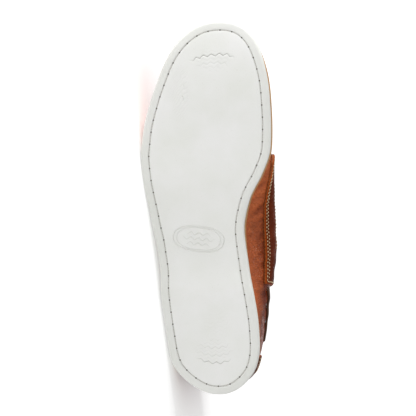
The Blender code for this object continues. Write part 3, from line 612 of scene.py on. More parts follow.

# %% [markdown]
# ## Oiled leather
# The leather is thick, waxed and drum-dyed. Its grain is fine pebbles with longer pull wrinkles that run
# up the side of the shoe. Where it is rubbed at its edges and over the seam the wax moves and a lighter, more
# orange tone shows. Painted highlights lie on the wrinkles' crests and painted shade in their troughs and in
# the hollows of folds, seams and stitches, and painted light brightens it low on the shoe. One recipe makes
# the vamp, the darker straps and the lining, with its own colours for each.

# %% leather
def oiled_leather(name, light, middle, dark, edge, gloss, grain=1.0, low=(0.0, 0.01), shine=0.25):
    """Three tones by cloud and wrinkle, a painted highlight on wrinkle crests, painted shade in wrinkle
    troughs and marked hollows, painted light near the sole, orange at worn edges, pebbled bump.

    The wrinkles stretch up the shoe's side and are calmer on its top, and their crests shine more.
    """
    r = Recipe(name, middle, gloss, Specular_IOR_Level=shine)
    shoe = r.mark("shoe", "Vector")
    clouds = r.noise(shoe, 55.0, 4.0, 0.6, 0.4)
    pull = r.noise(r.stretched(shoe, (230.0, 190.0, 105.0)), 1.0, 3.0, 0.5, 0.5)
    fine = r.noise(shoe, 1100.0, 3.0, 0.6)
    line = r.noise(r.stretched(shoe, (180.0, 200.0, 95.0)), 1.0, 2.0, 0.45, 1.1)
    line = r.between(r.sum("ABSOLUTE", r.sum("MULTIPLY_ADD", line, 2.0, -1.0)), 0.0, 0.08, 1.0, 0.0)
    height = r.node("ShaderNodeSeparateXYZ", {"Vector": shoe}, out=2)
    side = r.between(height, 0.030, 0.058, 1.0, 0.35)
    colour = r.mix(r.between(clouds, 0.22, 0.62), dark, middle)
    # painted highlight: the wrinkles' crests are tinted towards the light tone
    colour = r.tint(colour, light, r.between(pull, 0.50, 0.70, 0.0, 0.34), side)
    # painted shade: the wrinkles' troughs and crease lines are tinted dark
    colour = r.tint(colour, dark, r.between(pull, 0.48, 0.30, 0.0, 0.24), side)
    colour = r.tint(colour, dark, r.sum("MULTIPLY", line, 0.50 * grain), side)
    # painted light: the leather low on the shoe, in the band of heights given by low, is tinted light
    colour = r.tint(colour, light, r.between(height, low[1], low[0]), 0.85)
    # painted shade: the marked hollows are tinted dark
    colour = r.tint(colour, dark, r.mark("hollow_shade"), 0.6)
    worn = r.sum("MULTIPLY", r.mark("worn"), r.between(fine, 0.3, 0.62, 0.45, 1.0))
    colour = r.mix(worn, colour, edge)
    pores = r.between(r.pebbles(shoe, 1500.0), 0.02, 0.14)
    small = r.between(r.pebbles(shoe, 2900.0), 0.01, 0.10)
    colour = r.mix(r.between(pores, 0.5, 0.0, 0.0, 0.28 * grain), colour, dark)
    normal = r.bump(small, 0.00005, 0.5 * grain)
    normal = r.bump(pores, 0.00010, 0.7 * grain, normal)
    normal = r.bump(r.sum("MULTIPLY", pull, side), 0.00130, 0.7 * grain, normal)
    normal = r.bump(r.sum("SUBTRACT", 1.0, line), 0.00035, 0.8 * grain, normal)
    rough = r.between(pull, 0.40, 0.64, gloss + 0.12, gloss - 0.12)
    return r.finish(colour, rough, normal)


# the light tone is the painted light low on the vamp and the painted highlight on its wrinkles
VAMP_LEATHER = oiled_leather(
    "vamp_leather", paint(226, 124, 70), paint(142, 52, 10), paint(84, 26, 6), paint(204, 100, 36), 0.33,
    low=(0.010, 0.032), shine=0.26,
)
STRAP_LEATHER = oiled_leather(
    "strap_leather", paint(122, 50, 19), paint(100, 37, 12), paint(72, 25, 8), paint(206, 96, 26), 0.48,
    grain=0.6, low=(0.0, 0.01), shine=0.05,
)
LINING = oiled_leather(
    "lining_leather", paint(204, 160, 118), paint(190, 140, 98), paint(164, 112, 74), paint(204, 160, 118),
    0.66, grain=0.4,
)
print("made", VAMP_LEATHER.name, STRAP_LEATHER.name, LINING.name)

# %% [markdown]
# ## Cut edges, thread, lace and metal
# A cut edge of leather shows its fibres, paler than the dyed skin. Thread is waxed and twisted, so it has
# slanting strands. The lace is a strip of dark oiled hide with lighter corners, and the eyelets are dull
# aged brass with brown in the hollows.

# %% edge, thread, lace and brass
def raw_edge(name, pale, deep):
    """Layered fibres: stripes along the run, broken by noise, from pale to deep."""
    r = Recipe(name, pale, 0.78, Specular_IOR_Level=0.25)
    run = r.mark("run", "Vector")
    shoe = r.mark("shoe", "Vector")
    fibres = r.noise(r.stretched(run, (700.0, 5200.0, 1.0)), 1.0, 4.0, 0.6, 0.5)
    clouds = r.noise(shoe, 130.0, 4.0, 0.6)
    colour = r.mix(r.between(fibres, 0.34, 0.68), deep, pale)
    colour = r.mix(r.between(clouds, 0.45, 0.72, 0.0, 0.6), colour, deep)
    normal = r.bump(r.noise(shoe, 2400.0, 3.0, 0.6), 0.00008, 0.7)
    normal = r.bump(fibres, 0.00012, 0.7, normal)
    return r.finish(colour, r.between(clouds, 0.3, 0.7, 0.7, 0.86), normal)


def waxed_thread(name, pale, deep):
    """Slanting strands across the run, with soft dirt."""
    r = Recipe(name, pale, 0.6, Specular_IOR_Level=0.3)
    run = r.mark("run", "Vector")
    across, over = (r.node("ShaderNodeSeparateXYZ", {"Vector": run}, out=k) for k in (0, 1))
    slant = r.sum("ADD", r.sum("MULTIPLY", across, 5200.0), r.sum("MULTIPLY", over, 2600.0))
    strand = r.sum("SINE", slant)
    dirt_and_shade = r.noise(r.mark("shoe", "Vector"), 300.0, 3.0, 0.6)
    colour = r.mix(r.between(strand, -0.9, 0.2), deep, pale)
    colour = r.mix(r.between(dirt_and_shade, 0.45, 0.75, 0.0, 0.5), colour, deep)
    return r.finish(colour, r.between(dirt_and_shade, 0.3, 0.7, 0.5, 0.7), r.bump(strand, 0.0001, 0.6))


def hide_lace(name, pale, middle, deep):
    """Cloudy dark hide with lighter rubbed corners and long pull lines."""
    r = Recipe(name, middle, 0.5, Specular_IOR_Level=0.4)
    run = r.mark("run", "Vector")
    shoe = r.mark("shoe", "Vector")
    pull = r.noise(r.stretched(run, (180.0, 1500.0, 1.0)), 1.0, 4.0, 0.6, 0.8)
    clouds = r.noise(shoe, 140.0, 3.0, 0.6)
    colour = r.mix(r.between(pull, 0.34, 0.66), deep, middle)
    colour = r.mix(r.sum("MULTIPLY", r.mark("worn"), r.between(clouds, 0.35, 0.62)), colour, pale)
    normal = r.bump(r.noise(shoe, 1900.0, 3.0, 0.6), 0.00008, 0.6)
    normal = r.bump(pull, 0.00025, 0.6, normal)
    return r.finish(colour, r.between(clouds, 0.3, 0.7, 0.42, 0.6), normal)


def aged_brass():
    """Dull yellow metal with brown tarnish in clouds and fine scratches."""
    r = Recipe("aged_brass", paint(150, 112, 64), 0.36, Metallic=0.9)
    shoe = r.mark("shoe", "Vector")
    tarnish = r.noise(shoe, 700.0, 4.0, 0.65)
    colour = r.mix(r.between(tarnish, 0.42, 0.66), paint(168, 128, 74), paint(84, 58, 32))
    normal = r.bump(r.noise(shoe, 5000.0, 2.0, 0.5), 0.00002, 0.5)
    return r.finish(colour, r.between(tarnish, 0.35, 0.7, 0.28, 0.55), normal)


WELT_EDGE = raw_edge("welt_edge", paint(206, 172, 128), paint(168, 124, 82))
CUT_EDGE = raw_edge("cut_edge", paint(170, 96, 46), paint(106, 52, 22))
CREAM_THREAD = waxed_thread("cream_thread", paint(226, 206, 170), paint(168, 136, 96))
SOLE_THREAD = waxed_thread("sole_thread", paint(222, 221, 216), paint(172, 169, 161))
DARK_LACE = hide_lace("dark_lace", paint(132, 88, 56), paint(88, 54, 34), paint(52, 31, 20))
# painted shade: near-black for the floors of the eyelet holes and the lace slits
HOLE = raw_edge("needle_hole", paint(60, 44, 34), paint(30, 20, 14))
# painted shade: dark grey for the depth of the sole's needle holes
SOLE_HOLE = raw_edge("sole_hole", paint(128, 124, 116), paint(92, 88, 82))
BRASS = aged_brass()
print("made", WELT_EDGE.name, CUT_EDGE.name, CREAM_THREAD.name, DARK_LACE.name, BRASS.name)

# %% [markdown]
# ## The camera and the light
# The photograph looks almost square at the sole, about ten degrees over towards the medial side, so a
# narrow strip of the leather shows above the sole's inner edge. The camera keeps that angle to the shoe
# and is rolled so that the toe is at the top. The light is a white room: the floor burns out to white
# and keeps only a soft shadow on the side that the shoe lies on.

# %% camera
VIEW_TILT = math.radians(10.5)
VIEW_DISTANCE = 1.6
VIEW_AIM = (5.1 * MM, 147.3 * MM, 0.0)
PIXELS = 416
MM_PER_PIXEL = 0.79
SENSOR = 36.0


def place_camera(aim):
    """Stands back along the sole's normal, leaned to the medial side, with the toe up."""
    back = TURN @ np.array([-math.sin(VIEW_TILT), 0.0, -math.cos(VIEW_TILT)])
    toe = TURN @ np.array([0.0, 1.0, 0.0])
    right = np.cross(toe, back)
    data = bpy.data.cameras.new("view")
    data.sensor_width = SENSOR
    data.lens = SENSOR * VIEW_DISTANCE / (PIXELS * MM_PER_PIXEL * MM)
    data.clip_start, data.clip_end = 0.05, 200.0
    camera = bpy.data.objects.new("view", data)
    turn = np.stack([right, toe, back], axis=1)
    camera.matrix_world = Matrix.Translation(lie_down(aim) + back * VIEW_DISTANCE) @ Matrix(turn).to_4x4()
    bpy.context.scene.collection.objects.link(camera)
    bpy.context.scene.camera = camera
    print("camera at", [round(v, 3) for v in camera.matrix_world.translation], "lens", round(data.lens, 1))


place_camera(VIEW_AIM)

# %% floor and lamps
FLOOR_HALF = 40.0


def pale_floor():
    """A wide sheet of white acrylic, lit a little from below, with the faintest cloud in it."""
    r = Recipe("pale_floor", (0.95, 0.95, 0.95), 0.9, Specular_IOR_Level=0.1, Emission_Strength=0.24)
    r.shader.inputs["Emission Color"].default_value = (1.0, 1.0, 1.0, 1.0)
    spot = r.node("ShaderNodeTexCoord", {}, out=3)
    colour = r.mix(r.between(r.noise(spot, 3.0), 0.3, 0.7), (0.95, 0.95, 0.95), (0.93, 0.93, 0.93))
    mesh = bpy.data.meshes.new("floor")
    corners = [(-1, -1), (1, -1), (1, 1), (-1, 1)]
    mesh.from_pydata([(x * FLOOR_HALF, y * FLOOR_HALF, 0.0) for x, y in corners], [], [(0, 1, 2, 3)])
    mesh.materials.append(r.finish(colour))
    floor = bpy.data.objects.new("floor", mesh)
    bpy.context.scene.collection.objects.link(floor)


def soft_lamp(name, spot, aim, size, power):
    """A square white lamp at spot, turned to aim."""
    data = bpy.data.lights.new(name, "AREA")
    data.size, data.energy = size, power
    lamp = bpy.data.objects.new(name, data)
    away = Vector(aim) - Vector(spot)
    lamp.matrix_world = Matrix.Translation(spot) @ away.to_track_quat("-Z", "Y").to_matrix().to_4x4()
    bpy.context.scene.collection.objects.link(lamp)


pale_floor()
world = bpy.data.worlds.new("white_room")
world.use_nodes = True
world.node_tree.nodes["Background"].inputs["Color"].default_value = (1.0, 1.0, 1.0, 1.0)
world.node_tree.nodes["Background"].inputs["Strength"].default_value = 0.36
bpy.context.scene.world = world
bpy.context.scene.view_settings.view_transform = "Standard"
soft_lamp("ceiling", (0.0, -0.2, 2.6), (0.0, 0.0, 0.0), 2.6, 15.0)
soft_lamp("toe", (-2.3, 0.22, 1.05), (0.0, 0.0, 0.05), 1.0, 62.0)
soft_lamp("front", (0.9, -2.5, 1.3), (0.0, 0.0, 0.05), 1.6, 19.0)

# %% [markdown]
# ## The outsole
# The sole is one moulding. Its tread face has a stitch channel 6.6 mm inside the edge, and a field of
# wavy razor cuts. A mould maker draws the cuts as rows that follow the toe's curve and run straight
# across the heel. So the tread is made of rings: each ring is the channel's inner edge drawn towards a
# spine, and every few rings one is pushed into the rubber as a cut. The waves push all rings near
# a cut sideways together, so the mesh never folds.

# %% the sole's loop, evenly spaced
AROUND = 640
WAVE_LENGTH = 6.4 * MM
WAVE_REACH = 1.0 * MM
CUT_ROWS = 27
CUT_HALF_WIDTH = 0.42 * MM
MAIN_ROW, GUIDE_SHARE = 6, 0.78
TOE_BUMPER = 2.2 * MM
SPINE = (0.324, 0.66)


def even_places(count, curve):
    """Places round the shoe at equal distances along a closed curve."""
    fine = np.linspace(0, 2, 8001)
    length = run_length(curve(wrapped(fine)))
    return wrapped(np.interp(np.arange(count) / count * length[-1], length, fine))


SOLE_PLACES = even_places(AROUND, lambda place: sole_plan(*signed_place(place)))
SOLE_LOOP = sole_plan(*signed_place(SOLE_PLACES))
FIELD_EDGE = inset(SOLE_LOOP, STITCH_INSET + 1.0 * MM)
APART = float(np.abs(np.diff(SOLE_LOOP, axis=0)).max())
print("sole loop:", AROUND, "points,", round(APART / MM, 2), "mm apart")


# %% rings of the tread
PHOTO_ZERO = (132, 394.5)
CUT_PLACES = (  # x and y in the picture, half width and half length in mm
    (128, 58, 26, 15), (97, 92, 12, 36), (133, 190, 15, 13), (132, 345, 22, 26), (135, 320, 18, 18),
)
CUT_SPOTS = (  # the same, then the strength and the rows: the main one, the others, or all
    (128, 57, 21, 6, 1.0, "main"), (129, 60, 17, 11, 0.24, "other"), (97, 92, 9, 30, 0.13, "all"),
    (133, 190, 11, 9, 0.15, "all"), (131, 361, 18, 5, 0.85, "main"), (132, 350, 17, 10, 0.32, "other"),
    (135, 320, 14, 14, 0.09, "all"),
)


def photo_spot(x, y):
    """A spot of the tread in the shoe's frame, from where the picture shows it."""
    return np.array([(PHOTO_ZERO[0] - x) * MM_PER_PIXEL * MM, (PHOTO_ZERO[1] - y) * MM_PER_PIXEL * MM])


def patch(points, x, y, wide, long):
    """1 in the middle of an ellipse, falling smoothly to 0 at its edge."""
    away = np.linalg.norm((points - photo_spot(x, y)) / (np.array([wide, long]) * MM), axis=-1)
    return 1 - smooth_step(0.55, 1.0, away)


def tread_rings(shares):
    """Each ring: the spine plus the edge's offset times the share, squarer over the heel.

    Across the shoe the offset shrinks with a power of the share, so that rows over the heel stay wide.
    """
    along = FIELD_EDGE[:, 1] / LENGTH
    spine_along = np.clip(along, *SPINE)
    spine = np.stack([follow(OUTLINE, 1, spine_along) * BALL_WIDTH, spine_along * LENGTH], axis=1)
    offset = FIELD_EDGE - spine
    to_heel = 1 - smooth_step(0.25, 0.55, along)
    share = np.asarray(shares)[:, None]
    power = 0.62 * to_heel + 1.25 * (1 - to_heel)
    depth = np.where(along < 0.5, SPINE[0], 1 - SPINE[1]) * LENGTH
    wide = abs(offset[:, 0]) / (0.36 * BALL_WIDTH)
    deep = abs(offset[:, 1]) / depth
    corner = np.clip((wide**6 + deep**6) ** (1 / 6), 0.5, 1.0)
    square = (0.45 * to_heel + 0.25 * (1 - to_heel))[None, :] * smooth_step(1.0, 0.60, share)
    push = 1 / corner[None, :] ** square
    x = spine[:, 0] + offset[:, 0] * share**power[None, :] * push
    y = spine[:, 1] + offset[:, 1] * share * push
    return np.stack([x, y], axis=-1)


def cut_places(points):
    """1 where the cuts show and wave, 0 where the rubber is closed and smooth."""
    return np.clip(sum(patch(points, *place) for place in CUT_PLACES), 0, 1)


def cut_strength(points, number):
    """How far the cuts stand open: a plain row at each end of the sole, fainter ones near, and hairlines."""
    rows = {"main": (number == MAIN_ROW) * 1.0, "other": np.where(number % 2 == 0, 1.0, 0.45)}
    rows["all"] = np.ones(number.shape)
    total = sum(strength * rows[kind][:, None] * patch(points, *spot) for *spot, strength, kind in CUT_SPOTS)
    return np.clip(total, 0, 1)


def straightened(rings, lines):
    """Lifts the ends of the toe's rows, so that the plain row runs straight across as in the picture."""
    side = abs(rings[..., 0] - photo_spot(128, 57)[0])
    droop = 4.2 * MM * np.minimum(side / (18 * MM), 1.2) ** 2 * (1 - smooth_step(20 * MM, 34 * MM, side))
    bell = smooth_step(0.60, 0.77, lines) * (1 - smooth_step(0.80, 0.98, lines))
    lift = droop * bell[:, None] * smooth_step(0.74, 0.80, rings[..., 1] / LENGTH)
    return rings + np.stack([np.zeros(lift.shape), lift], axis=-1)


def tread():
    """Rings from the field's edge to the spine, with the wave, the cuts' depth and their strength."""
    row = 1 / (CUT_ROWS + 1)
    centres = 1 - row * np.arange(1, CUT_ROWS + 1)
    half = CUT_HALF_WIDTH / ((1 - SPINE[1]) * LENGTH)
    lines = [centres, centres - half, centres + half, centres - row / 2, [1, 0]]
    lines = np.sort(np.concatenate(lines))[::-1]
    flat = straightened(tread_rings(lines), lines)
    run = np.roll(flat, -1, axis=1) - np.roll(flat, 1, axis=1)
    run /= np.maximum(np.linalg.norm(run, axis=-1), 1e-9)[..., None]
    inwards = np.stack([-run[..., 1], run[..., 0]], axis=-1)
    guide = tread_rings([GUIDE_SHARE])[0]
    length = np.linalg.norm(np.roll(guide, -1, axis=0) - guide, axis=1)
    travelled = np.cumsum(length) - length
    toe = np.argmin(abs(abs(SOLE_PLACES) - 1))
    from_heel = np.minimum(travelled, length.sum() - travelled)
    phase = np.where(guide[:, 1] > 0.48 * LENGTH, travelled - travelled[toe], from_heel) / WAVE_LENGTH
    wave = (4 * abs(np.mod(phase, 1) - 0.5) - 1)[None, :]
    reach = smooth_step(0.995, 0.90, lines)[:, None] * smooth_step(0.02, 0.16, lines)[:, None]
    along = flat[..., 1] / LENGTH
    zone = np.where(along > 0.48, smooth_step(0.54, 0.62, along), 1 - smooth_step(0.24, 0.29, along))
    near = np.linalg.norm(np.roll(flat, -1, axis=1) - flat, axis=-1) / length[None, :]
    reach = reach * smooth_step(0.45, 0.85, near) * cut_places(flat)
    moved = flat + inwards * (wave * WAVE_REACH * reach * zone)[..., None]
    number = np.round((1 - lines) / row)
    depth = np.isin(lines, centres)[:, None] * cut_strength(moved, number) * reach * zone
    return moved, depth, lines


TREAD, CUT, LINES = tread()
print("tread:", len(LINES), "rings, deepest cut share", round(float(CUT.max()), 2))


# %% the outsole as one closed surface
def outsole():
    """Rings from the sole's middle out over the channel, the margin and the side, and back over the top."""
    spine_up = TREAD[::-1]
    height = ground(spine_up[..., 1]) + CUT[::-1] * 0.45 * MM
    loops = [np.concatenate([spine_up, height[..., None]], axis=-1)]
    # dirt and painted shade in the slits, by how far each cut stands open
    cut = [CUT[::-1] * 0.75]
    margin = [np.zeros(CUT.shape)]
    # the third column is dirt and painted shade: it darkens the channel's groove
    channel = (  # distance inside the edge, height over the tread, dirt
        (7.25, 0.05, 0.02), (7.05, 0.28, 0.10), (6.9, 0.62, 0.20), (6.6, 0.78, 0.24), (6.3, 0.62, 0.20),
        (6.15, 0.28, 0.08), (5.95, 0.04, 0.0),
    )
    border = ((5.4, 0.0), (3.8, 0.02), (2.2, 0.06), (1.2, 0.16), (0.75, 0.30), (0.35, 0.58), (0.1, 0.95))
    wall = ((0.0, 0.10), (0.02, 0.30), (0.06, 0.50), (0.22, 0.56), (0.06, 0.62), (0.05, 0.80), (0.25, 0.93),
            (0.75, 0.985), (1.4, 1.0), (3.0, 1.0))
    ground_rows = [(*row, 0.0) for row in channel] + [(*row, 0.0, 1.0) for row in border]
    for distance, lift, dirt_and_shade, outside in ground_rows:
        plan = inset(SOLE_LOOP, distance * MM)
        loops.append(np.column_stack([plan, ground(plan[:, 1]) + lift * MM])[None])
        cut.append(np.full((1, AROUND), dirt_and_shade))
        margin.append(np.full((1, AROUND), outside))
    at_toe = smooth_step(0.86, 0.99, signed_place(SOLE_PLACES)[0])[:, None]
    for distance, share in wall:
        bumper = TOE_BUMPER * at_toe * math.sin(math.pi * share) ** 0.5 if share < 1 else 0.0
        plan = inset(SOLE_LOOP, distance * MM + SOLE_DRAFT * share - bumper)
        low, high = ground(plan[:, 1]) + 1.2 * MM, sole_top(plan[:, 1])
        loops.append(np.column_stack([plan, low + (high - low) * share])[None])
        cut.append(np.zeros((1, AROUND)))
        margin.append(np.full((1, AROUND), 0.35))
    top = tread_rings(np.array([0.9, 0.6, 0.3, 0.0]))
    loops.append(np.concatenate([top, sole_top(top[..., 1])[..., None]], axis=-1))
    cut.append(np.zeros(top.shape[:2]))
    margin.append(np.zeros(top.shape[:2]))
    grid = np.concatenate(loops)
    quads = closed_faces(grid)
    along = grid[..., 1] / LENGTH
    # painted shade: this mark darkens the rubber across the arch
    waist = smooth_step(0.26, 0.36, along) * (1 - smooth_step(0.52, 0.64, along))
    marks = {"cut": np.concatenate(cut), "margin": np.concatenate(margin), "waist": waist}
    piece = make_piece("outsole_rubber", grid, quads, [RUBBER], marks, maps=run_and_rise(grid), weld=2e-6)
    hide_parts("outsole")
    print(piece.name, len(piece.data.polygons), "faces")


outsole()

# %% [markdown]
# ## Stitches in the channel
# A sole like this is sewn through: a thick waxed thread lies in the channel in long stitches, and dives
# into a needle hole between two of them. Each stitch is a thin closed tube whose two ends bend down into
# the hole, and each hole is a shallow dish coloured dark grey as painted shade, so the holes read as small
# dark dots, as in the picture.

# %% stitches as one mesh
SOLE_PITCH = 9.6 * MM


def stitches(name, path, normals, pitch, share, radius, finish, slot, sink=1.0, steps=7, sides=8, flat=1.0,
             closed=False, phase=0.0):
    """Tubes along a path: centre lifted by a half sine, round section, ends sunk along the normal."""
    if closed:
        path = np.vstack([path, path[:1]])
        normals = np.vstack([normals, normals[:1]])
    length = run_length(path)
    count = max(1, int(round(length[-1] / pitch)))
    step = length[-1] / count
    t = np.linspace(0, 1, steps)
    start = (np.arange(count)[:, None] + (1 - share) / 2 + phase) * step
    spot = np.clip(start + t[None, :] * share * step, 0, length[-1])
    centre = np.stack([np.interp(spot, length, path[:, k]) for k in range(3)], axis=-1)
    up = unit(np.stack([np.interp(spot, length, normals[:, k]) for k in range(3)], axis=-1))
    across = unit(np.cross(unit(np.gradient(centre, axis=1)), up))
    hump = np.sin(math.pi * t) ** 0.35
    centre = centre + up * ((hump - 1) * radius * sink)[None, :, None]
    full = np.clip(np.sin(math.pi * t), 0, 1) ** 0.3 * 0.75 + 0.25
    turn = np.arange(sides) * 2 * math.pi / sides
    wide = (radius * full[:, None] * np.cos(turn)[None, :])[None, :, :, None]
    high = (radius * flat * full[:, None] * np.sin(turn)[None, :])[None, :, :, None]
    ring = centre[:, :, None, :] + across[:, :, None, :] * wide + up[:, :, None, :] * high
    first, last = (np.repeat(centre[:, k, None, None], sides, 2) for k in (0, -1))
    grid = np.concatenate([first, ring, last], axis=1)
    rows = steps + 2
    quads = copies(closed_faces(grid[0]), count, rows * sides)
    maps = np.zeros((count, rows, sides, 2))
    maps[..., 0] = np.concatenate([spot[:, :1], spot, spot[:, -1:]], axis=1)[:, :, None]
    maps[..., 1] = (np.arange(sides) / sides * 2 * math.pi * radius)[None, None, :]
    piece = make_piece(name, grid, quads, [finish], maps=maps, weld=1e-6)
    print(name, count, "stitches,", len(piece.data.polygons), "faces")
    return centre, up, step


def sole_stitches():
    """Thread along the channel, 0.85 mm thick, a stitch every 9.6 mm."""
    plan = inset(SOLE_LOOP, STITCH_INSET)
    path = np.column_stack([plan, ground(plan[:, 1]) + 0.52 * MM])
    down = np.tile([0.0, 0.0, -1.0], (AROUND, 1))
    stitches("sole_thread_line", path, down, SOLE_PITCH, 0.86, 0.42 * MM, SOLE_THREAD, "sole_rubber",
             sink=1.6, closed=True, steps=13)
    holes(path)


DISH_SIDES = 10
DISH = (  # radius and height in mm
    (0.0, 0.35), (0.62, 0.30), (0.62, -0.36), (0.48, -0.44), (0.25, -0.34), (0.0, -0.32),
)


def holes(path):
    """A small dish in the channel between two stitches, dark grey as painted shade."""
    closed = np.vstack([path, path[:1]])
    length = run_length(closed)
    count = int(round(length[-1] / SOLE_PITCH))
    spot = np.arange(count) * length[-1] / count
    centre = np.stack([np.interp(spot, length, closed[:, k]) for k in range(3)], axis=-1)
    turn = np.arange(DISH_SIDES) * 2 * math.pi / DISH_SIDES
    rings = []
    for radius, depth in DISH:
        circle = [radius * np.cos(turn), radius * np.sin(turn), np.full(DISH_SIDES, depth)]
        rings.append(centre[:, None, :] + np.stack(circle, axis=1)[None] * MM)
    grid = np.stack(rings, axis=1)
    quads = copies(closed_faces(grid[0]), count, len(DISH) * DISH_SIDES)
    piece = make_piece("sole_needle_holes", grid, quads, [SOLE_HOLE], weld=1e-6)


sole_stitches()

# %% [markdown]
# ## A plain badge under the waist
# Such soles have a moulded oval under the waist. Here it stays generic: a raised rim round a plain oval
# with three rows of waves, and nothing else. Rim and waves are low rounded ridges, each a flattened tube
# half sunk in the rubber.

# %% oval ridge and waves
BADGE_PLACE = (115, 239)  # in the picture
BADGE_HALF = (20.5 * MM, 10.0 * MM)
BADGE_TURN = math.radians(6.0)


def ridge(points, width, height, closed):
    """A flattened tube along a path on the tread, as a grid."""
    if closed:
        ahead = np.roll(points, -1, axis=0) - np.roll(points, 1, axis=0)
    else:
        ahead = np.gradient(points, axis=0)
    ahead = unit(ahead)
    across = np.stack([ahead[:, 1], -ahead[:, 0]], axis=1)
    turn = np.arange(10) * 2 * math.pi / 10
    taper = np.ones(len(points)) if closed else np.sin(np.linspace(0, math.pi, len(points))) ** 0.4 + 0.02
    wide = width / 2 * taper[:, None] * np.cos(turn)[None, :]
    high = height * taper[:, None] * np.sin(turn)[None, :]
    plan = points[:, None, :] + across[:, None, :] * wide[..., None]
    z = ground(plan[..., 1]) - high
    return np.concatenate([plan, z[..., None]], axis=-1)


def badge():
    """An oval rim and three wavy lines inside it."""
    middle = photo_spot(*BADGE_PLACE)
    cosine, sine = math.cos(BADGE_TURN), math.sin(BADGE_TURN)
    turn = np.array([[cosine, -sine], [sine, cosine]])
    angle = np.linspace(0, 2 * math.pi, 120, endpoint=False)
    shapes = []
    for share, width in ((1.0, 1.1), (0.86, 0.6)):
        oval = np.stack([np.cos(angle), np.sin(angle)], axis=1)
        oval = np.sign(oval) * abs(oval) ** 0.86 * np.array(BADGE_HALF) * share
        shapes.append((ridge(oval @ turn.T + middle, width * MM, 0.46 * MM, True), True))
    for row, reach in ((-4.0, 9.5), (0.0, 13.0), (4.0, 9.5)):
        x = np.linspace(-reach, reach, 90)
        line = np.stack([x, row + 1.0 * np.cos(x * 2 * math.pi / 6.4)], axis=1) * MM
        shapes.append((ridge(line @ turn.T + middle, 1.0 * MM, 0.48 * MM, False), False))
    points, quads, total = [], [], 0
    for grid, closed in shapes:
        grid = grid if closed else capped(grid)
        points.append(grid.reshape(-1, 3))
        quads.append(closed_faces(grid, wrap_rows=closed) + total)
        total += len(points[-1])
    points, quads = np.concatenate(points), np.concatenate(quads)
    # painted shade: the ridges are marked as cuts so that they read a little darker, and they take the
    # waist's painted shade
    marks = {"cut": np.full(total, 0.10), "margin": np.full(total, 0.2), "waist": np.ones(total)}
    piece = make_piece("waist_oval", points, quads, [RUBBER], marks, weld=1e-6)
    print(piece.name, len(piece.data.polygons), "faces")


badge()

# %% [markdown]
# ## The leather layer and the insole
# Between rubber and upper lies a thin layer of leather. Only its raw edge shows, as a tan line all round.
# The insole inside is a board with a soft leather sock, a little dished where the foot stands.

# %% midsole
WELT_PROUD = 1.1 * MM


def midsole():
    """Loops up the raw edge, which bulges by a fraction of a millimetre, closed across both faces.

    Along the medial side the trimmed edge stands a millimetre further out, as in the picture.
    """
    levels = ((0.0, 2.0), (0.0, 0.5), (0.05, 0.12), (0.25, -0.05), (0.5, -0.12), (0.75, -0.06), (0.93, 0.1),
              (1.0, 0.4), (1.0, 2.0))
    loops = []
    along, reach = signed_place(SOLE_PLACES)
    proud = (WELT_PROUD * smooth_step(0.0, 0.6, -reach) * smooth_step(0.34, 0.46, along))[:, None]
    for share, pull in levels:
        plan = inset(SOLE_LOOP, SOLE_DRAFT + MIDSOLE_SETBACK + pull * MM - proud)
        low = sole_top(plan[:, 1]) + GAP * 0.2
        loops.append(np.column_stack([plan, low + share * (MIDSOLE_THICKNESS + GAP * 1.6)])[None])
    middle = tread_rings(np.array([0.9, 0.5, 0.0]))
    top = sole_top(middle[..., 1]) + GAP * 1.8 + MIDSOLE_THICKNESS
    low = sole_top(middle[..., 1]) + GAP * 0.2
    under = np.concatenate([middle, low[..., None]], axis=-1)[::-1]
    over = np.concatenate([middle, top[..., None]], axis=-1)
    grid = np.concatenate([under] + loops + [over])
    quads = closed_faces(grid)
    piece = make_piece("welt_layer", grid, quads, [WELT_EDGE], maps=run_and_rise(grid), weld=2e-6)
    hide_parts("midsole")
    print(piece.name, len(piece.data.polygons), "faces")


midsole()


# %% insole
def insole():
    """A board whose top dips by up to 0.8 mm under heel and ball, with a rounded rim."""
    places = even_places(360, feather_at)
    edge = inset(feather_at(places), WALL + 4 * GAP)
    along = edge[:, 1] / LENGTH
    inner = np.clip(along, 0.12, 0.82)
    spine = np.stack([follow(OUTLINE, 1, inner) * BALL_WIDTH, inner * LENGTH], axis=1)
    shares = np.array([1.0, 0.995, 0.985, 0.96, 0.9, 0.8, 0.7, 0.6, 0.5, 0.4, 0.3, 0.2, 0.1, 0.0])
    drop = np.array([0.9, 0.3, 0.1, 0.02, 0, 0, 0, 0, 0, 0, 0, 0, 0, 0]) * MM
    plan = spine[None] + (edge - spine)[None] * shares[:, None, None]
    spot = plan[..., 1] / LENGTH
    dish = 0.8 * MM * (1 - shares[:, None] ** 2) * (
        1 - smooth_step(0.22, 0.4, spot) + smooth_step(0.55, 0.68, spot) * (1 - smooth_step(0.8, 0.95, spot)))
    top = feather(plan[..., 1]) + INSOLE_THICKNESS - drop[:, None] - dish
    over = np.concatenate([plan, top[..., None]], axis=-1)
    low = np.concatenate([plan, feather(plan[..., 1])[..., None]], axis=-1)
    grid = np.concatenate([over[::-1], low])
    quads = closed_faces(grid)
    marks = {"hollow_shade": np.zeros(grid.shape[:2]), "worn": np.zeros(grid.shape[:2])}
    piece = make_piece("sock_board", grid, quads, [LINING], marks, maps=run_and_rise(grid), weld=2e-6)
    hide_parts("insole")
    print(piece.name, len(piece.data.polygons), "faces")


insole()
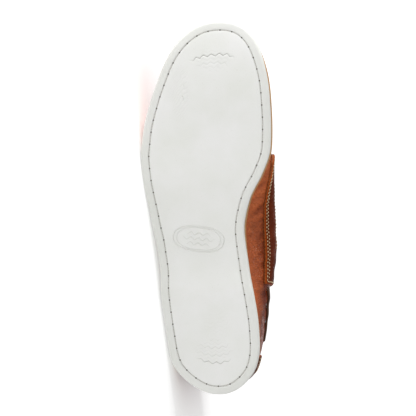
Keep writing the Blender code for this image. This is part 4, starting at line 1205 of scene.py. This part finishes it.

# %% [markdown]
# ## The upper, and its creases
# The upper is drawn over the last and sewn. Leather that has been lasted and tried on is never smooth:
# it buckles in front of the throat, slouches in slanting folds at the waist and below the ankle, and
# gathers in small puckers where the longer vamp edge is sewn to the shorter apron. The large folds are
# placed one by one in the shoe's own sizes: each is a soft trough along a short line, with a low ridge at
# either side. The same folds move the straps, so the layers stay together.

# %% folds placed one by one
FOLDS = (  # (along, row) of the two ends on a side, side, half width mm, depth mm
    ((0.690, 0.42), (0.672, 1.00), LATERAL, 3.4, 1.1), ((0.690, 0.42), (0.672, 1.00), MEDIAL, 3.4, 1.0),
    ((0.722, 0.52), (0.704, 1.00), LATERAL, 3.0, 0.9), ((0.726, 0.50), (0.704, 1.00), MEDIAL, 3.2, 0.8),
    ((0.752, 0.66), (0.738, 1.00), LATERAL, 2.8, 0.5), ((0.752, 0.66), (0.738, 1.00), MEDIAL, 2.6, 0.5),
    ((0.655, 0.05), (0.700, 0.50), MEDIAL, 3.0, 0.8), ((0.640, 0.00), (0.690, 0.46), LATERAL, 3.0, 0.9),
    ((0.610, -0.70), (0.645, 0.02), MEDIAL, 2.6, 0.45), ((0.470, -0.85), (0.520, -0.25), MEDIAL, 3.2, 0.5),
    ((0.405, -0.80), (0.445, -0.30), MEDIAL, 2.8, 0.35), ((0.540, -0.90), (0.575, -0.40), MEDIAL, 2.4, 0.35),
    ((0.330, -0.60), (0.360, -0.10), MEDIAL, 3.0, 0.35), ((0.250, -0.70), (0.275, 0.30), MEDIAL, 3.6, 0.6),
    ((0.215, -0.10), (0.235, 0.75), MEDIAL, 3.2, 0.7), ((0.215, -0.20), (0.240, 0.75), LATERAL, 3.2, 0.8),
    ((0.470, -0.85), (0.500, -0.10), LATERAL, 3.4, 0.6), ((0.380, -0.70), (0.410, 0.00), LATERAL, 3.2, 0.5),
    ((0.160, 0.00), (0.180, 0.80), LATERAL, 2.6, 0.5), ((0.165, 0.10), (0.180, 0.80), MEDIAL, 2.6, 0.4),
    ((0.440, 0.10), (0.380, 0.85), MEDIAL, 4.2, 0.7), ((0.440, 0.05), (0.385, 0.85), LATERAL, 4.2, 0.8),
    ((0.520, 0.10), (0.500, 0.75), MEDIAL, 3.6, 0.5), ((0.330, 0.10), (0.300, 0.90), LATERAL, 3.8, 0.6),
    ((0.330, 0.10), (0.300, 0.90), MEDIAL, 3.8, 0.5), ((0.860, -0.60), (0.885, -0.05), LATERAL, 3.0, 0.3),
    ((0.800, -0.70), (0.815, 0.05), MEDIAL, 3.0, 0.3), ((0.740, -0.75), (0.760, 0.10), MEDIAL, 3.0, 0.3),
    *(((0.320 + 0.031 * k, -0.93 + 0.04 * (k % 3)),
       (0.345 + 0.031 * k + 0.007 * (k % 2), -0.40 - 0.05 * (k % 4)),
       MEDIAL, 1.7 + 0.2 * (k % 3), 0.36 + 0.05 * (k % 2)) for k in range(10)),
)
FOLD_STEPS = 14


def fold_lines():
    """Each fold's line in space: between its ends on the last, a little bowed, as points."""
    share = np.linspace(0, 1, FOLD_STEPS)
    lines = []
    for (along_a, row_a), (along_b, row_b), side, width, depth in FOLDS:
        along = along_a + (along_b - along_a) * share + 0.004 * np.sin(math.pi * share)
        row = np.clip(row_a + (row_b - row_a) * share, -0.98, 0.99)
        lines.append((last_point(place_at(along, side), row), width * MM, depth * MM, share))
    return lines


FOLD_LINES = fold_lines()


def crease(points):
    """Depth of the folds at points: a trough that is a bell of the distance, and a low ridge beside it."""
    flat = points.reshape(-1, 3)
    depth = np.zeros(len(flat))
    for line, width, deep, share in FOLD_LINES:
        gap = np.linalg.norm(flat[:, None, :] - line[None], axis=-1)
        nearest = gap.argmin(axis=1)
        away = gap[np.arange(len(flat)), nearest] / width
        taper = 0.25 + 0.75 * np.sin(math.pi * share[nearest])
        trough = np.exp(-(away**2)) - 0.38 * np.exp(-((away - 2.0) ** 2) / 0.9)
        depth += deep * taper * trough
    return depth.reshape(points.shape[:-1])


print("folds:", len(FOLD_LINES))


# %% the wall of the upper with its sewn seam
PUCKER = 5.6 * MM
UPPER_COLUMNS = 400


def seam_length(place):
    """Distance along the moccasin seam for places round the shoe, from the toe tip."""
    fine = np.linspace(0, 2, 4001)
    length = run_length(last_point(wrapped(fine), np.full(fine.shape, SEAM_ROW)))
    return np.interp(np.mod(place, 2), fine, length) - np.interp(1.0, fine, length)


def seam_strength(place):
    """0 behind the straps' noses and 1 round the toe."""
    along, _ = signed_place(place)
    return smooth_step(SEAM_START, SEAM_FULL, along)


def upper_surface(place, row):
    """The last, plus the seam's rib, the puckers beside it and the folds, along the last's normal, with a
    mark for painted shade in their hollows.
    """
    place, row = np.broadcast_arrays(np.asarray(place, dtype=float), np.asarray(row, dtype=float))
    base = last_point(place, row)
    normal = last_normal(place, np.clip(row, -0.98, 0.985))
    beat = seam_length(place) / PUCKER
    strength = seam_strength(place)
    off = (row - SEAM_ROW) / SEAM_HALF_WIDTH
    rib = np.clip(1 - off**2, 0, 1) ** 0.8 * (1 - 0.22 * np.cos(2 * math.pi * beat) ** 2)
    groove = 0.55 * np.exp(-((off - 1.15) ** 2) / 0.12)
    below = np.exp(-np.clip(-off - 0.6, 0, None) / 2.2) * smooth_step(-0.4, -1.0, off)
    above = np.exp(-np.clip(off - 0.8, 0, None) / 1.1) * smooth_step(0.5, 1.1, off)
    gather = 0.55 * MM * below * (abs(np.sin(math.pi * beat)) - 0.62)
    gather = gather + 0.22 * MM * above * (abs(np.sin(math.pi * beat)) - 0.62)
    lift = strength * (SEAM_HEIGHT * (1.15 * rib - 0.75 * groove) + gather)
    fold = crease(base) * (1 - 0.75 * strength * np.exp(-(off**2) / 3))
    fold = fold * smooth_step(-1.0, -0.86, row)
    # painted shade: the folds' depth, the groove beside the seam and the puckers' valleys give the mark that
    # darkens the leather there
    hollow_shade = np.clip(fold / (0.9 * MM), 0, 1)
    hollow_shade = hollow_shade + strength * (groove * 0.7 + 0.5 * np.clip(-gather / (0.3 * MM), 0, 1))
    return base + normal * (lift - fold)[..., None], normal, np.clip(hollow_shade, 0, 1)


def upper_places():
    """Columns at equal distances round the widest line, with the toe's pole line among them."""
    half = UPPER_COLUMNS // 2
    fine = np.linspace(0, 1, 4001)
    length = run_length(last_point(fine, np.full(fine.shape, 0.3)))
    side = np.interp(np.linspace(0, length[-1], half + 1), length, fine)
    return np.concatenate([side, -side[-2:0:-1]])


def upper_rows():
    """Rows packed round the seam and towards the collar."""
    parts = (np.linspace(-1, 0.5, 40, endpoint=False), np.linspace(0.5, 0.72, 30, endpoint=False),
             np.linspace(0.72, 1.0, 26))
    return np.concatenate(parts)


def upper():
    """The outer skin as a grid, welded along the crown line, with a Solidify wall towards the foot."""
    place, row = np.meshgrid(upper_places(), upper_rows())
    grid, _, hollow_shade = upper_surface(place, row)
    along, _ = signed_place(place[-1])
    closed = along >= THROAT_FRONT
    centre = last_point(place[-1], np.ones(place.shape[1]))
    mirror = np.concatenate([[0], np.arange(place.shape[1] - 1, 0, -1)])
    grid[-1, closed] = (grid[-1, closed] + grid[-1, mirror][closed]) / 2
    pole = along >= TOE_CENTRE
    grid[-1, pole] = centre[pole].mean(axis=0)
    quads = cells(*grid.shape[:2], wrap_columns=True)
    edge = np.clip((row - 0.955) / 0.045, 0, 1) * (signed_place(place)[0] < THROAT_FRONT)
    worn = 0.5 * edge + 0.25 * smooth_step(0.6, 1.0, 1 - abs(row - SEAM_ROW) / 0.03) * seam_strength(place)
    marks = {"hollow_shade": hollow_shade, "worn": np.clip(worn, 0, 1)}
    middle = grid.reshape(-1, 3).mean(axis=0)
    a, b, c = (grid.reshape(-1, 3)[quads[:, k]] for k in range(3))
    if np.sum(np.cross(b - a, c - a) * (a - middle)) < 0:
        quads = quads[:, ::-1]
    maps = run_and_rise(grid)
    piece = make_piece("vamp_and_quarters", grid, quads, [VAMP_LEATHER, LINING, CUT_EDGE], marks, maps=maps,
                       weld=5e-6)
    wall = piece.modifiers.new("wall", "SOLIDIFY")
    wall.thickness, wall.offset = WALL, -1.0
    wall.use_even_offset = False
    wall.material_offset, wall.material_offset_rim = 1, 2
    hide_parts("upper")
    print(piece.name, len(piece.data.polygons), "faces in the outer skin")


upper()

# %% [markdown]
# ## The seam's thread
# The apron is sewn in by hand with a heavy cream thread: each stitch climbs over the rib from the vamp
# side to the apron side, one to each pucker. A stitch here is a short thick tube across the rib.

# %% stitches across the rib
def seam_stitches():
    """Tubes that follow the surface across the rib, at each pucker's valley round the toe."""
    fine = np.linspace(place_at(SEAM_FULL, LATERAL), 2 - abs(place_at(SEAM_FULL, MEDIAL)), 3000)
    beat = seam_length(wrapped(fine)) / PUCKER
    first, last = math.ceil(beat.min()), math.floor(beat.max())
    order = np.argsort(beat)
    knots = np.interp(np.arange(first, last + 1), beat[order], fine[order])
    steps, sides = 13, 8
    t = np.linspace(-1, 1, steps)
    row = SEAM_ROW + SEAM_HALF_WIDTH * 1.28 * t[None, :]
    slant = 0.0016 * t[None, :]
    place = wrapped(np.mod(knots[:, None] + slant, 2))
    skin, normal, _ = upper_surface(place, np.broadcast_to(row, place.shape))
    radius = 0.62 * MM
    sunk = (np.clip(1 - t**2, 0, 1) ** 0.5 * 1.15 - 0.75) * radius
    centre = skin + normal * sunk[None, :, None]
    across = unit(np.cross(unit(np.gradient(centre, axis=1)), normal))
    turn = np.arange(sides) * 2 * math.pi / sides
    size = radius * (0.35 + 0.65 * np.clip(1 - t**4, 0, 1) ** 0.5)
    ring = (centre[:, :, None, :] + across[:, :, None, :] * (size[:, None] * np.cos(turn))[None, :, :, None]
            + normal[:, :, None, :] * (size[:, None] * np.sin(turn))[None, :, :, None])
    start, stop = (np.repeat(centre[:, k, None, None], sides, 2) for k in (0, -1))
    grid = np.concatenate([start, ring, stop], axis=1)
    rows = steps + 2
    one = closed_faces(grid[0])
    count = len(knots)
    quads = copies(one, count, rows * sides)
    maps = np.zeros((count, rows, sides, 2))
    maps[..., 0] = (np.arange(rows) / rows * 9 * MM)[None, :, None]
    maps[..., 1] = (np.arange(sides) / sides * 2 * math.pi * radius)[None, None, :]
    piece = make_piece("apron_thread", grid, quads, [CREAM_THREAD], maps=maps, weld=1e-6)
    print(piece.name, count, "stitches")


seam_stitches()

# %% [markdown]
# ## Straps, counter and their edges
# The overlays are cut from thicker, darker leather, skived and rounded at the cut, and sewn down with two
# rows of cream thread. The cut edge stays raw and shows as an orange line. Each overlay is a grid over the
# upper: its top follows the upper's folds, thins over the last millimetre before an edge, and has a
# shallow trough where the thread pulls the leather down. The heel piece is skived thin at its foot.

# %% an overlay from a grid of places and rows
STITCH_ROWS = (2.0 * MM, 4.2 * MM)
EDGE_ROUND = 1.1 * MM
SMALL_PITCH, SMALL_RADIUS = 2.8 * MM, 0.42 * MM
SMALL_STITCH = {"sink": 0.9, "steps": 5, "sides": 6}


def metric(grid):
    """Distances of each grid point from the grid's four borders, in metres: left, right, low, high."""
    run, rise = np.moveaxis(run_and_rise(grid), -1, 0)
    return run, run[:, -1:] - run, rise, rise[-1:] - rise


def overlay(name, node, place, row, window=None, foot=1.0):
    """Top and bottom grids over the upper and a raw rim round every open border, window and all.

    foot is the share of the thickness left at the low border, where a maker skives the leather thin.
    """
    base, normal, _ = upper_surface(place, row)
    left, right, low, high = metric(base)
    away = np.minimum(np.minimum(left, right), np.minimum(low, high))
    keep = np.ones((place.shape[0] - 1, place.shape[1] - 1), dtype=bool)
    if window:
        r0, r1, c0, c1 = window
        keep[r0:r1, c0:c1] = False
        above = np.maximum(low - low[r1], low[r0] - low)
        beside = np.maximum(left - left[:, c1:c1 + 1], left[:, c0:c0 + 1] - left)
        outside = np.hypot(np.maximum(above, 0), np.maximum(beside, 0))
        away = np.minimum(away, np.where((above <= 0) & (beside <= 0), 0, outside))
    share = np.clip(away / EDGE_ROUND, 0, 1)
    thick = OVERLAY * (0.62 + 0.38 * np.sqrt(np.clip(1 - (1 - share) ** 2, 0, 1)))
    trough = np.zeros(place.shape)
    for distance in STITCH_ROWS:
        trough += np.exp(-(((away - distance) / (0.45 * MM)) ** 2))
    thick = thick - 0.22 * MM * np.clip(trough, 0, 1)
    skived = foot + (1 - foot) * smooth_step(0, 0.7, low / (low + high))
    over = base + normal * ((CURVED_GAP + thick) * skived)[..., None]
    points, faces, slots = sheet(over, base + normal * (0.25 * MM), keep)
    worn = (np.exp(-away / (0.45 * MM)) * 0.9 + 0.10 * np.exp(-away / (5 * MM))) * foot
    # painted shade: the stitch troughs are marked so that the leather darkens in them
    marks = {"worn": worn, "hollow_shade": trough}
    marks = {word: np.tile(np.clip(values, 0, 1).ravel(), 2) for word, values in marks.items()}
    maps = np.tile(np.stack([left, low], axis=-1).reshape(-1, 2), (2, 1))
    used = np.unique(faces)
    number = np.zeros(len(points), dtype=int)
    number[used] = np.arange(len(used))
    piece = make_piece(name, points[used], number[faces], [STRAP_LEATHER, CUT_EDGE],
                       {word: values[used] for word, values in marks.items()}, slots, maps[used], sharp=50)
    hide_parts(node)
    print(name, len(faces), "faces")
    return base


def surface_stitches(name, place, row, pitch=SMALL_PITCH, radius=SMALL_RADIUS):
    """A row of small stitches on an overlay, through places and rows."""
    base, normal, _ = upper_surface(place, row)
    path = base + normal * (OVERLAY + CURVED_GAP)
    stitches(name, path, normal, pitch, 0.66, radius, CREAM_THREAD, "strap_leather", **SMALL_STITCH)


# %% quarter straps
STRAP_COLUMNS, STRAP_LINES = 190, 66


def strap_spot(station, height):
    """(along, row) of a strap at its own station, 0 at the rear to 1 in front, and height."""
    rear = STRAP_REAR + STRAP_SLANT * (1 - height)
    front = STRAP_FRONT - STRAP_NOSE * height**2
    along = rear + (front - rear) * station
    low = follow(STRAP_EDGE, 1, along)
    return along, low + (STRAP_TOP - low) * height


def snapped(count, stops):
    """Even numbers from 0 to 1 whose nearest ones are moved onto the stops."""
    line = np.linspace(0, 1, count)
    found = []
    for stop in stops:
        k = int(np.argmin(abs(line - stop)))
        line[k] = stop
        found.append(k)
    return line, found


def quarter_strap(side, word):
    """The strap with the side lace's window, and its rows of stitches round both."""
    middle = sum(WINDOW_HEIGHTS) / 2
    rear = STRAP_REAR + STRAP_SLANT * (1 - middle)
    front = STRAP_FRONT - STRAP_NOSE * middle**2
    stops = [(end - rear) / (front - rear) for end in SIDE_WINDOW]
    stations, (c0, c1) = snapped(STRAP_COLUMNS, stops)
    heights, (r0, r1) = snapped(STRAP_LINES, WINDOW_HEIGHTS)
    station, height = np.meshgrid(stations, heights)
    along, row = strap_spot(station, height)
    window = (r0, r1, c0, c1)
    base = overlay(f"strap_{word}", f"quarter_strap_{word}", place_at(along, side), row, window)
    tall = np.linalg.norm(np.diff(base, axis=0), axis=-1).sum(axis=0)
    long = np.linalg.norm(np.diff(base, axis=1), axis=-1).sum(axis=1)
    t = np.linspace(0, 1, 160)
    for number, distance in enumerate(STITCH_ROWS):
        up = distance / np.interp(t, stations, tall)
        side_in = distance / float(long.mean())
        inner = side_in + (1 - 2 * side_in) * t
        lines = [(inner, up), (inner, 1 - up)]
        for start in (side_in, 1 - side_in):
            lines.append((np.full(t.shape, start), up[0] + (1 - 2 * up[0]) * t))
        for part, (s, h) in enumerate(lines[: 4 if number == 0 else 1]):
            a, r = strap_spot(s, h)
            pitch, radius = (3.8 * MM, 0.62 * MM) if part == 3 else (SMALL_PITCH, SMALL_RADIUS)
            surface_stitches(f"strap_{word}_thread_{number}{part}", place_at(a, side), r, pitch, radius)
    pad_s, pad_h = 2.0 * MM / float(long.mean()), 1.9 * MM / float(tall.mean())
    s0, s1 = stops[0] - pad_s, stops[1] + pad_s
    h0, h1 = WINDOW_HEIGHTS[0] - pad_h, WINDOW_HEIGHTS[1] + pad_h
    for part, h in enumerate((h0, h1)):
        a, r = strap_spot(s0 + (s1 - s0) * t, np.full(t.shape, h))
        surface_stitches(f"strap_{word}_window_thread_{part}", place_at(a, side), r)


for side, word in ((MEDIAL, "medial"), (LATERAL, "lateral")):
    quarter_strap(side, word)


# %% heel counter
def counter_spot(place, height):
    """Row at a share of the counter's own height."""
    fall = smooth_step(COUNTER_NARROW / SIDE, COUNTER_WIDE / SIDE, abs(place))
    top = COUNTER_TOP + (COUNTER_LOW - COUNTER_TOP) * fall
    return COUNTER_FOOT + (top - COUNTER_FOOT) * height


def heel_counter():
    """The overlay round the heel, with a double row of stitches below its upper edge."""
    reach = COUNTER_SPOKES / SIDE
    place, height = np.meshgrid(np.linspace(-reach, reach, 230), np.linspace(0, 1, 60))
    row = counter_spot(place, height)
    base = overlay("heel_piece", "heel_counter", place, row, foot=0.32)
    tall = np.linalg.norm(np.diff(base, axis=0), axis=-1).sum(axis=0)
    t = np.linspace(-reach * 0.985, reach * 0.985, 400)
    for number, distance in enumerate(STITCH_ROWS):
        height = 1 - distance / np.interp(t, place[0], tall)
        surface_stitches(f"heel_thread_{number}", t, counter_spot(t, height))


heel_counter()

# %% [markdown]
# ## The collar's rolled edge and the tongue
# At the collar the leather is turned over a cord and sewn, so the foot meets a soft round edge. It is a
# bead along the upper's top edge that ends at the throat. The tongue is a tongue-shaped piece of the same
# leather, a little curled at its edges, with a row of stitches round it.

# %% collar bead
def swept(path, normals, width, thickness, sides, power=0.8):
    """Rings of a flattened round section along a path, square to its run."""
    ahead = unit(np.gradient(path, axis=0))
    across = unit(np.cross(ahead, normals))
    up = np.cross(across, ahead)
    turn = (np.arange(sides) + 0.5) * 2 * math.pi / sides
    wide = np.sign(np.cos(turn)) * abs(np.cos(turn)) ** power / 2
    high = np.sign(np.sin(turn)) * abs(np.sin(turn)) ** power / 2
    width, thickness = (np.broadcast_to(v, (len(path),))[:, None, None] for v in (width, thickness))
    return (path[:, None, :] + across[:, None, :] * wide[None, :, None] * width
            + up[:, None, :] * high[None, :, None] * thickness)


def closed_cord(name, rings, finish, worn=0.5, node=None):
    """A cord through rings, closed at both ends by a point, lighter on its corners."""
    sides = rings.shape[1]
    grid = capped(rings)
    quads = closed_faces(grid)
    turn = (np.arange(sides) + 0.5) * 2 * math.pi / sides
    rub = np.broadcast_to(abs(np.sin(2 * turn))[None, :] ** 2 * worn, grid.shape[:2])
    piece = make_piece(name, grid, quads, [finish], {"worn": rub, "hollow_shade": np.zeros(grid.shape[:2])},
                       maps=run_and_rise(grid.transpose(1, 0, 2)).transpose(1, 0, 2), weld=1e-6)
    if node:
        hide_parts(node)
    return piece


def collar_bead():
    """A bead on the top edge from one side of the throat round the heel to the other."""
    ends = abs(place_at(0.636, MEDIAL))
    place = np.linspace(-ends, ends, 420)
    edge, normal, _ = upper_surface(place, np.full(place.shape, 0.992))
    lean = normal * (-WALL * 0.5)
    along, _ = signed_place(place)
    size = 3.1 * MM * (0.75 + 0.25 * smooth_step(0.60, 0.45, along))
    rings = swept(edge + lean, normal, size, size * 0.95, 14, 1.0)
    closed_cord("collar_bead", rings, STRAP_LEATHER, worn=0.25)
    low, normal, _ = upper_surface(place, np.full(place.shape, 0.935))
    stitches("collar_thread", low + normal * 0.05 * MM, normal, SMALL_PITCH, 0.78, 0.30 * MM, CREAM_THREAD,
             "strap_leather", **SMALL_STITCH)


collar_bead()


# %% tongue
def throat_point(along, share, lift):
    """Over or under the crown beside the throat, lifted along the last's normal."""
    def bare(a, s):
        angle = np.arccos(np.clip(abs(s), 0, 1) ** (FULLNESS / 2))
        return crown_point(a, np.where(s < 0, -1.0, 1.0), angle)

    step = 0.004
    along, share = np.broadcast_arrays(np.asarray(along, dtype=float), np.asarray(share, dtype=float))
    run = bare(along + step, share) - bare(along - step, share)
    side = bare(along, share + step) - bare(along, share - step)
    return bare(along, share) + unit(np.cross(side, run)) * np.asarray(lift)[..., None]


def tongue_half_width(along):
    """Half the tongue's width: even, and rounded off at its tip."""
    rounding = np.clip((along - TONGUE_SPAN[0]) * LENGTH / TONGUE_HALF_WIDTH, 0, 1)
    return TONGUE_HALF_WIDTH * (TONGUE_TIP + (1 - TONGUE_TIP) * np.sqrt(1 - (1 - rounding) ** 2))


def tongue():
    """Two grids under the throat with a rounded rim; the face has a soft crown and a pressed border."""
    along = np.linspace(TONGUE_SPAN[1], TONGUE_SPAN[0], 110)
    across = np.linspace(-1, 1, 70)
    half = follow(LAST, 2, along) * BALL_WIDTH
    share = across[None, :] * (tongue_half_width(along) / half)[:, None]
    spot = np.broadcast_to(along[:, None], share.shape)
    to_side = (1 - abs(across))[None, :] * tongue_half_width(along)[:, None]
    to_top = np.broadcast_to(((along - TONGUE_SPAN[0]) * LENGTH)[:, None], share.shape)
    away = np.minimum(to_side, to_top)
    round_off = np.sqrt(np.clip(1 - (1 - np.clip(away / (1.4 * MM), 0, 1)) ** 2, 0, 1))
    line = np.exp(-(((away - 3.0 * MM) / (0.5 * MM)) ** 2))
    drop = WALL + CURVED_GAP
    wrinkle = 0.35 * MM * np.exp(-(((to_top - 22 * MM) / (4 * MM)) ** 2))
    wrinkle = wrinkle + 0.25 * MM * np.exp(-(((to_top - 35 * MM) / (3.5 * MM)) ** 2))
    over = throat_point(spot, share, -drop - (1 - round_off) * 1.3 * MM - 0.25 * MM * line - wrinkle)
    under = throat_point(spot, share, -drop - TONGUE_THICKNESS + (1 - round_off) * 1.3 * MM)
    points, faces, slots = sheet(over, under, np.ones(len(cells(*spot.shape)), dtype=bool))
    # painted shade in the tongue's pressed border line and its wrinkles
    marks = {"hollow_shade": np.tile(np.clip(line + wrinkle / (0.5 * MM), 0, 1).ravel(), 2) * 0.6,
             "worn": np.tile((0.6 * np.exp(-away / (1.2 * MM))).ravel(), 2)}
    maps = np.tile(np.stack([to_side, to_top], axis=-1).reshape(-1, 2), (2, 1))
    piece = make_piece("tongue_leather", points, faces, [VAMP_LEATHER, LINING], marks, slots, maps, sharp=55)
    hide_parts("tongue")
    inner = 3.0 * MM
    t = np.linspace(0.655, TONGUE_SPAN[0] + inner / LENGTH, 90)
    reach = (tongue_half_width(t) - inner) / (follow(LAST, 2, t) * BALL_WIDTH)
    turn = np.linspace(1, -1, 30)[1:-1]
    a = np.concatenate([t, np.full(len(turn), t[-1]), t[::-1]])
    s = np.concatenate([reach, reach[-1] * turn, -reach[::-1]])
    path = throat_point(a, s, np.full(a.shape, -drop + 0.02 * MM))
    lifted = throat_point(a, s, np.full(a.shape, -drop + 1 * MM))
    normals = (lifted - path) / MM
    stitches("tongue_thread", path, normals, SMALL_PITCH, 0.78, 0.3 * MM, CREAM_THREAD, "upper_leather",
             **SMALL_STITCH)
    print(piece.name, len(piece.data.polygons), "faces")


tongue()

# %% [markdown]
# ## Laces
# The lace is one strip of hide. Along each side it runs in the strap's window and dives into the leather
# at either end; behind, it runs from the strap to the heel piece. Over the tongue it makes a bar and a
# crossing between the eyelets, and both ends stop at the top eyelets.

# %% side and heel laces
def lace_rings(path, normals, wobble):
    """A flat cord along a path: it rolls a little and swells a little, as cut hide does."""
    run = run_length(path)
    width = LACE_WIDTH * (1 + 0.05 * np.sin(run / (7 * MM) + wobble))
    thick = LACE_THICKNESS * (1 + 0.06 * np.sin(run / (4.3 * MM) + 2 * wobble))
    return swept(path, normals, width, thick, 16, 0.62)


def surface_lace(name, node, side, along, row, dive, wobble):
    """A stretch on the upper's wall whose two ends sink below the leather over the last 3 mm."""
    place = place_at(along, side)
    base, normal, _ = upper_surface(place, row)
    for _ in range(30):
        base[1:-1] = (base[:-2] + base[1:-1] + base[2:]) / 3
        normal[1:-1] = (normal[:-2] + normal[1:-1] + normal[2:]) / 3
    length = run_length(base)
    end = np.minimum(length, length[-1] - length)
    lift = LACE_THICKNESS / 2 - dive * (1 - smooth_step(0, 3.0 * MM, end))
    path = base + normal * lift[:, None]
    closed_cord(name, lace_rings(path, normal, wobble), DARK_LACE, node=node)


def side_and_heel_laces():
    """Four stretches, each over its own solid."""
    middle = sum(WINDOW_HEIGHTS) / 2
    for side, word in ((MEDIAL, "medial"), (LATERAL, "lateral")):
        along = np.linspace(SIDE_WINDOW[0] + 0.0005, SIDE_WINDOW[1] - 0.0005, 90)
        low = follow(STRAP_EDGE, 1, along)
        row = low + (STRAP_TOP - low) * middle
        surface_lace(f"side_lace_{word}", f"lace_side_{word}", side, along, row, 1.5 * MM, 0.4)
        along = np.linspace(HEEL_LACE[0] - 0.006, HEEL_LACE[1] + 0.016, 90)
        row = heel_lace_row(along)
        surface_lace(f"heel_lace_{word}", f"lace_heel_{word}", side, along, row, 2.2 * MM, 1.7)


def heel_lace_row(along):
    """The heel lace slants: its row changes evenly from its rear end to its front end."""
    share = (along - HEEL_LACE[0]) / (HEEL_LACE[1] - HEEL_LACE[0])
    return HEEL_LACE_ROWS[0] + (HEEL_LACE_ROWS[1] - HEEL_LACE_ROWS[0]) * share


SLOT_SIDES, SLOT_RIM_RINGS = 24, 5


def lace_slots():
    """A punched slit at the rear end of each heel lace: an oval rim of raw leather round a floor dark with
    painted shade.
    """
    turn = np.arange(SLOT_SIDES) * 2 * math.pi / SLOT_SIDES
    along = HEEL_LACE[0] - 0.003
    profile = ((0.0, -0.6), (1.75, -0.5), (1.7, 0.12), (1.45, 0.34), (1.15, 0.30), (1.0, 0.05), (0.6, -0.05),
               (0.0, -0.06))
    size, height = (np.array(profile)[:, k, None, None] * MM for k in (0, 1))
    for side, word in ((MEDIAL, "medial"), (LATERAL, "lateral")):
        base, normal, _ = upper_surface(place_at(along, side), heel_lace_row(along))
        ahead = last_point(place_at(along + 0.02, side), heel_lace_row(along + 0.02)) - base
        ahead = unit(ahead - normal * np.dot(ahead, normal))
        oval = np.cos(turn)[:, None] * np.cross(normal, ahead) * 2.5 + np.sin(turn)[:, None] * ahead * 1.1
        grid = base + normal * height + oval[None] * size
        quads = closed_faces(grid)
        dark = (np.arange(len(quads)) >= SLOT_RIM_RINGS * SLOT_SIDES).astype(int)
        piece = make_piece(f"lace_slot_{word}", grid, quads, [CUT_EDGE, HOLE], slots=dark, weld=1e-6)


side_and_heel_laces()
lace_slots()


# %% eyelets and the front lace
def eyelet_share(along):
    """Distance of an eyelet from the crown line, as a share of the half width."""
    return float(follow(COLLAR, 1, along)) + EYELET_SETBACK / (float(follow(LAST, 2, along)) * BALL_WIDTH)


EYELET_SIDES = 40


def turned(radius, height):
    """A profile turned about the z axis, as one ring of points for each of its own."""
    angle = np.arange(EYELET_SIDES) * 2 * math.pi / EYELET_SIDES
    across = (radius[:, None] * np.cos(angle), radius[:, None] * np.sin(angle))
    return np.stack([*across, np.repeat(height[:, None], EYELET_SIDES, 1)], axis=-1)


def eyelet(number, along, side):
    """A rolled ring: a half round profile turned about the strap's normal, over a hole whose floor is dark
    with painted shade.
    """
    share = side * eyelet_share(along)
    base = throat_point(along, share, CURVED_GAP + OVERLAY + 0.35 * MM)
    tip = throat_point(along, share, CURVED_GAP + OVERLAY + 1.35 * MM)
    turn = np.array(Vector(tip - base).to_track_quat("Z", "Y").to_matrix())
    profile = np.linspace(0, 2 * math.pi, 15)[:-1]
    middle, half = (EYELET_RADIUS + EYELET_HOLE) / 2, (EYELET_RADIUS - EYELET_HOLE) / 2
    r = middle + half * np.cos(profile)
    z = np.where(np.sin(profile) > 0, 1.15, 0.25) * EYELET_THICKNESS * np.sin(profile) + 0.25 * MM
    grid = turned(r, z) @ turn.T + base
    quads = closed_faces(grid, wrap_rows=True)
    piece = make_piece(f"brass_eyelet_{number}", grid, quads, [BRASS], maps=run_and_rise(grid))
    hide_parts(f"eyelet_{number}")
    levels = np.array([(0.0, 0.10), (0.99, 0.16), (1.0, 0.05), (0.99, -0.4), (0.0, -0.4)])
    grid = turned(levels[:, 0] * (EYELET_HOLE + 0.3 * MM), levels[:, 1] * MM) @ turn.T + base
    quads = closed_faces(grid)
    hole = make_piece(f"eyelet_hole_{number}", grid, quads, [HOLE], maps=run_and_rise(grid), weld=1e-6)


def lace_strand(name, start, stop, side, over=0.0, node=None, wobble=0.0):
    """From eyelet to eyelet: down into both holes, up over the rings, and down on the tongue between."""
    lower, upper_spot = EYELET_PLACES
    share = np.linspace(-1, 1, 140)
    on_eyelet = 2 * CURVED_GAP + OVERLAY + EYELET_THICKNESS + GAP + LACE_THICKNESS / 2
    on_tongue = LACE_THICKNESS / 2 + 2 * GAP - WALL - CURVED_GAP
    along = (start + stop) / 2 + side * (stop - start) / 2 * share
    reach = share * np.interp(along, [upper_spot, lower], [eyelet_share(upper_spot), eyelet_share(lower)])
    climb = smooth_step(LACE_DIP[0], LACE_DIP[1], abs(share))
    dive = smooth_step(0.90, 1.0, abs(share)) * 2.4 * MM
    rise = on_tongue + over + (on_eyelet - on_tongue - over) * climb - dive
    path = throat_point(along, reach, rise)
    normal = (throat_point(along, reach, rise + GAP) - path) / GAP
    return closed_cord(name, lace_rings(path, normal, wobble), DARK_LACE, node=node)


number = 1
for along in EYELET_PLACES:
    for side in (MEDIAL, LATERAL):
        eyelet(number, along, side)
        number += 1
lower, top = EYELET_PLACES
lace_strand("lace_bar", lower, lower, 1, node="lace_front", wobble=0.3)
lace_strand("lace_cross_under", lower, top, 1, wobble=1.1)
lace_strand("lace_cross_over", lower, top, -1, LACE_THICKNESS * CROSSING, wobble=2.3)
print("laces and eyelets done")

# %% [markdown]
# ## The end
# The leather stands a little proud of the solids, and the rubber's bumper reaches about 2 mm further at the
# toe. The last cell counts the pieces and their faces.

# %% count the pieces
faces = sum(len(piece.data.polygons) for piece in PIECES)
print("pieces:", len(PIECES), "faces:", faces)
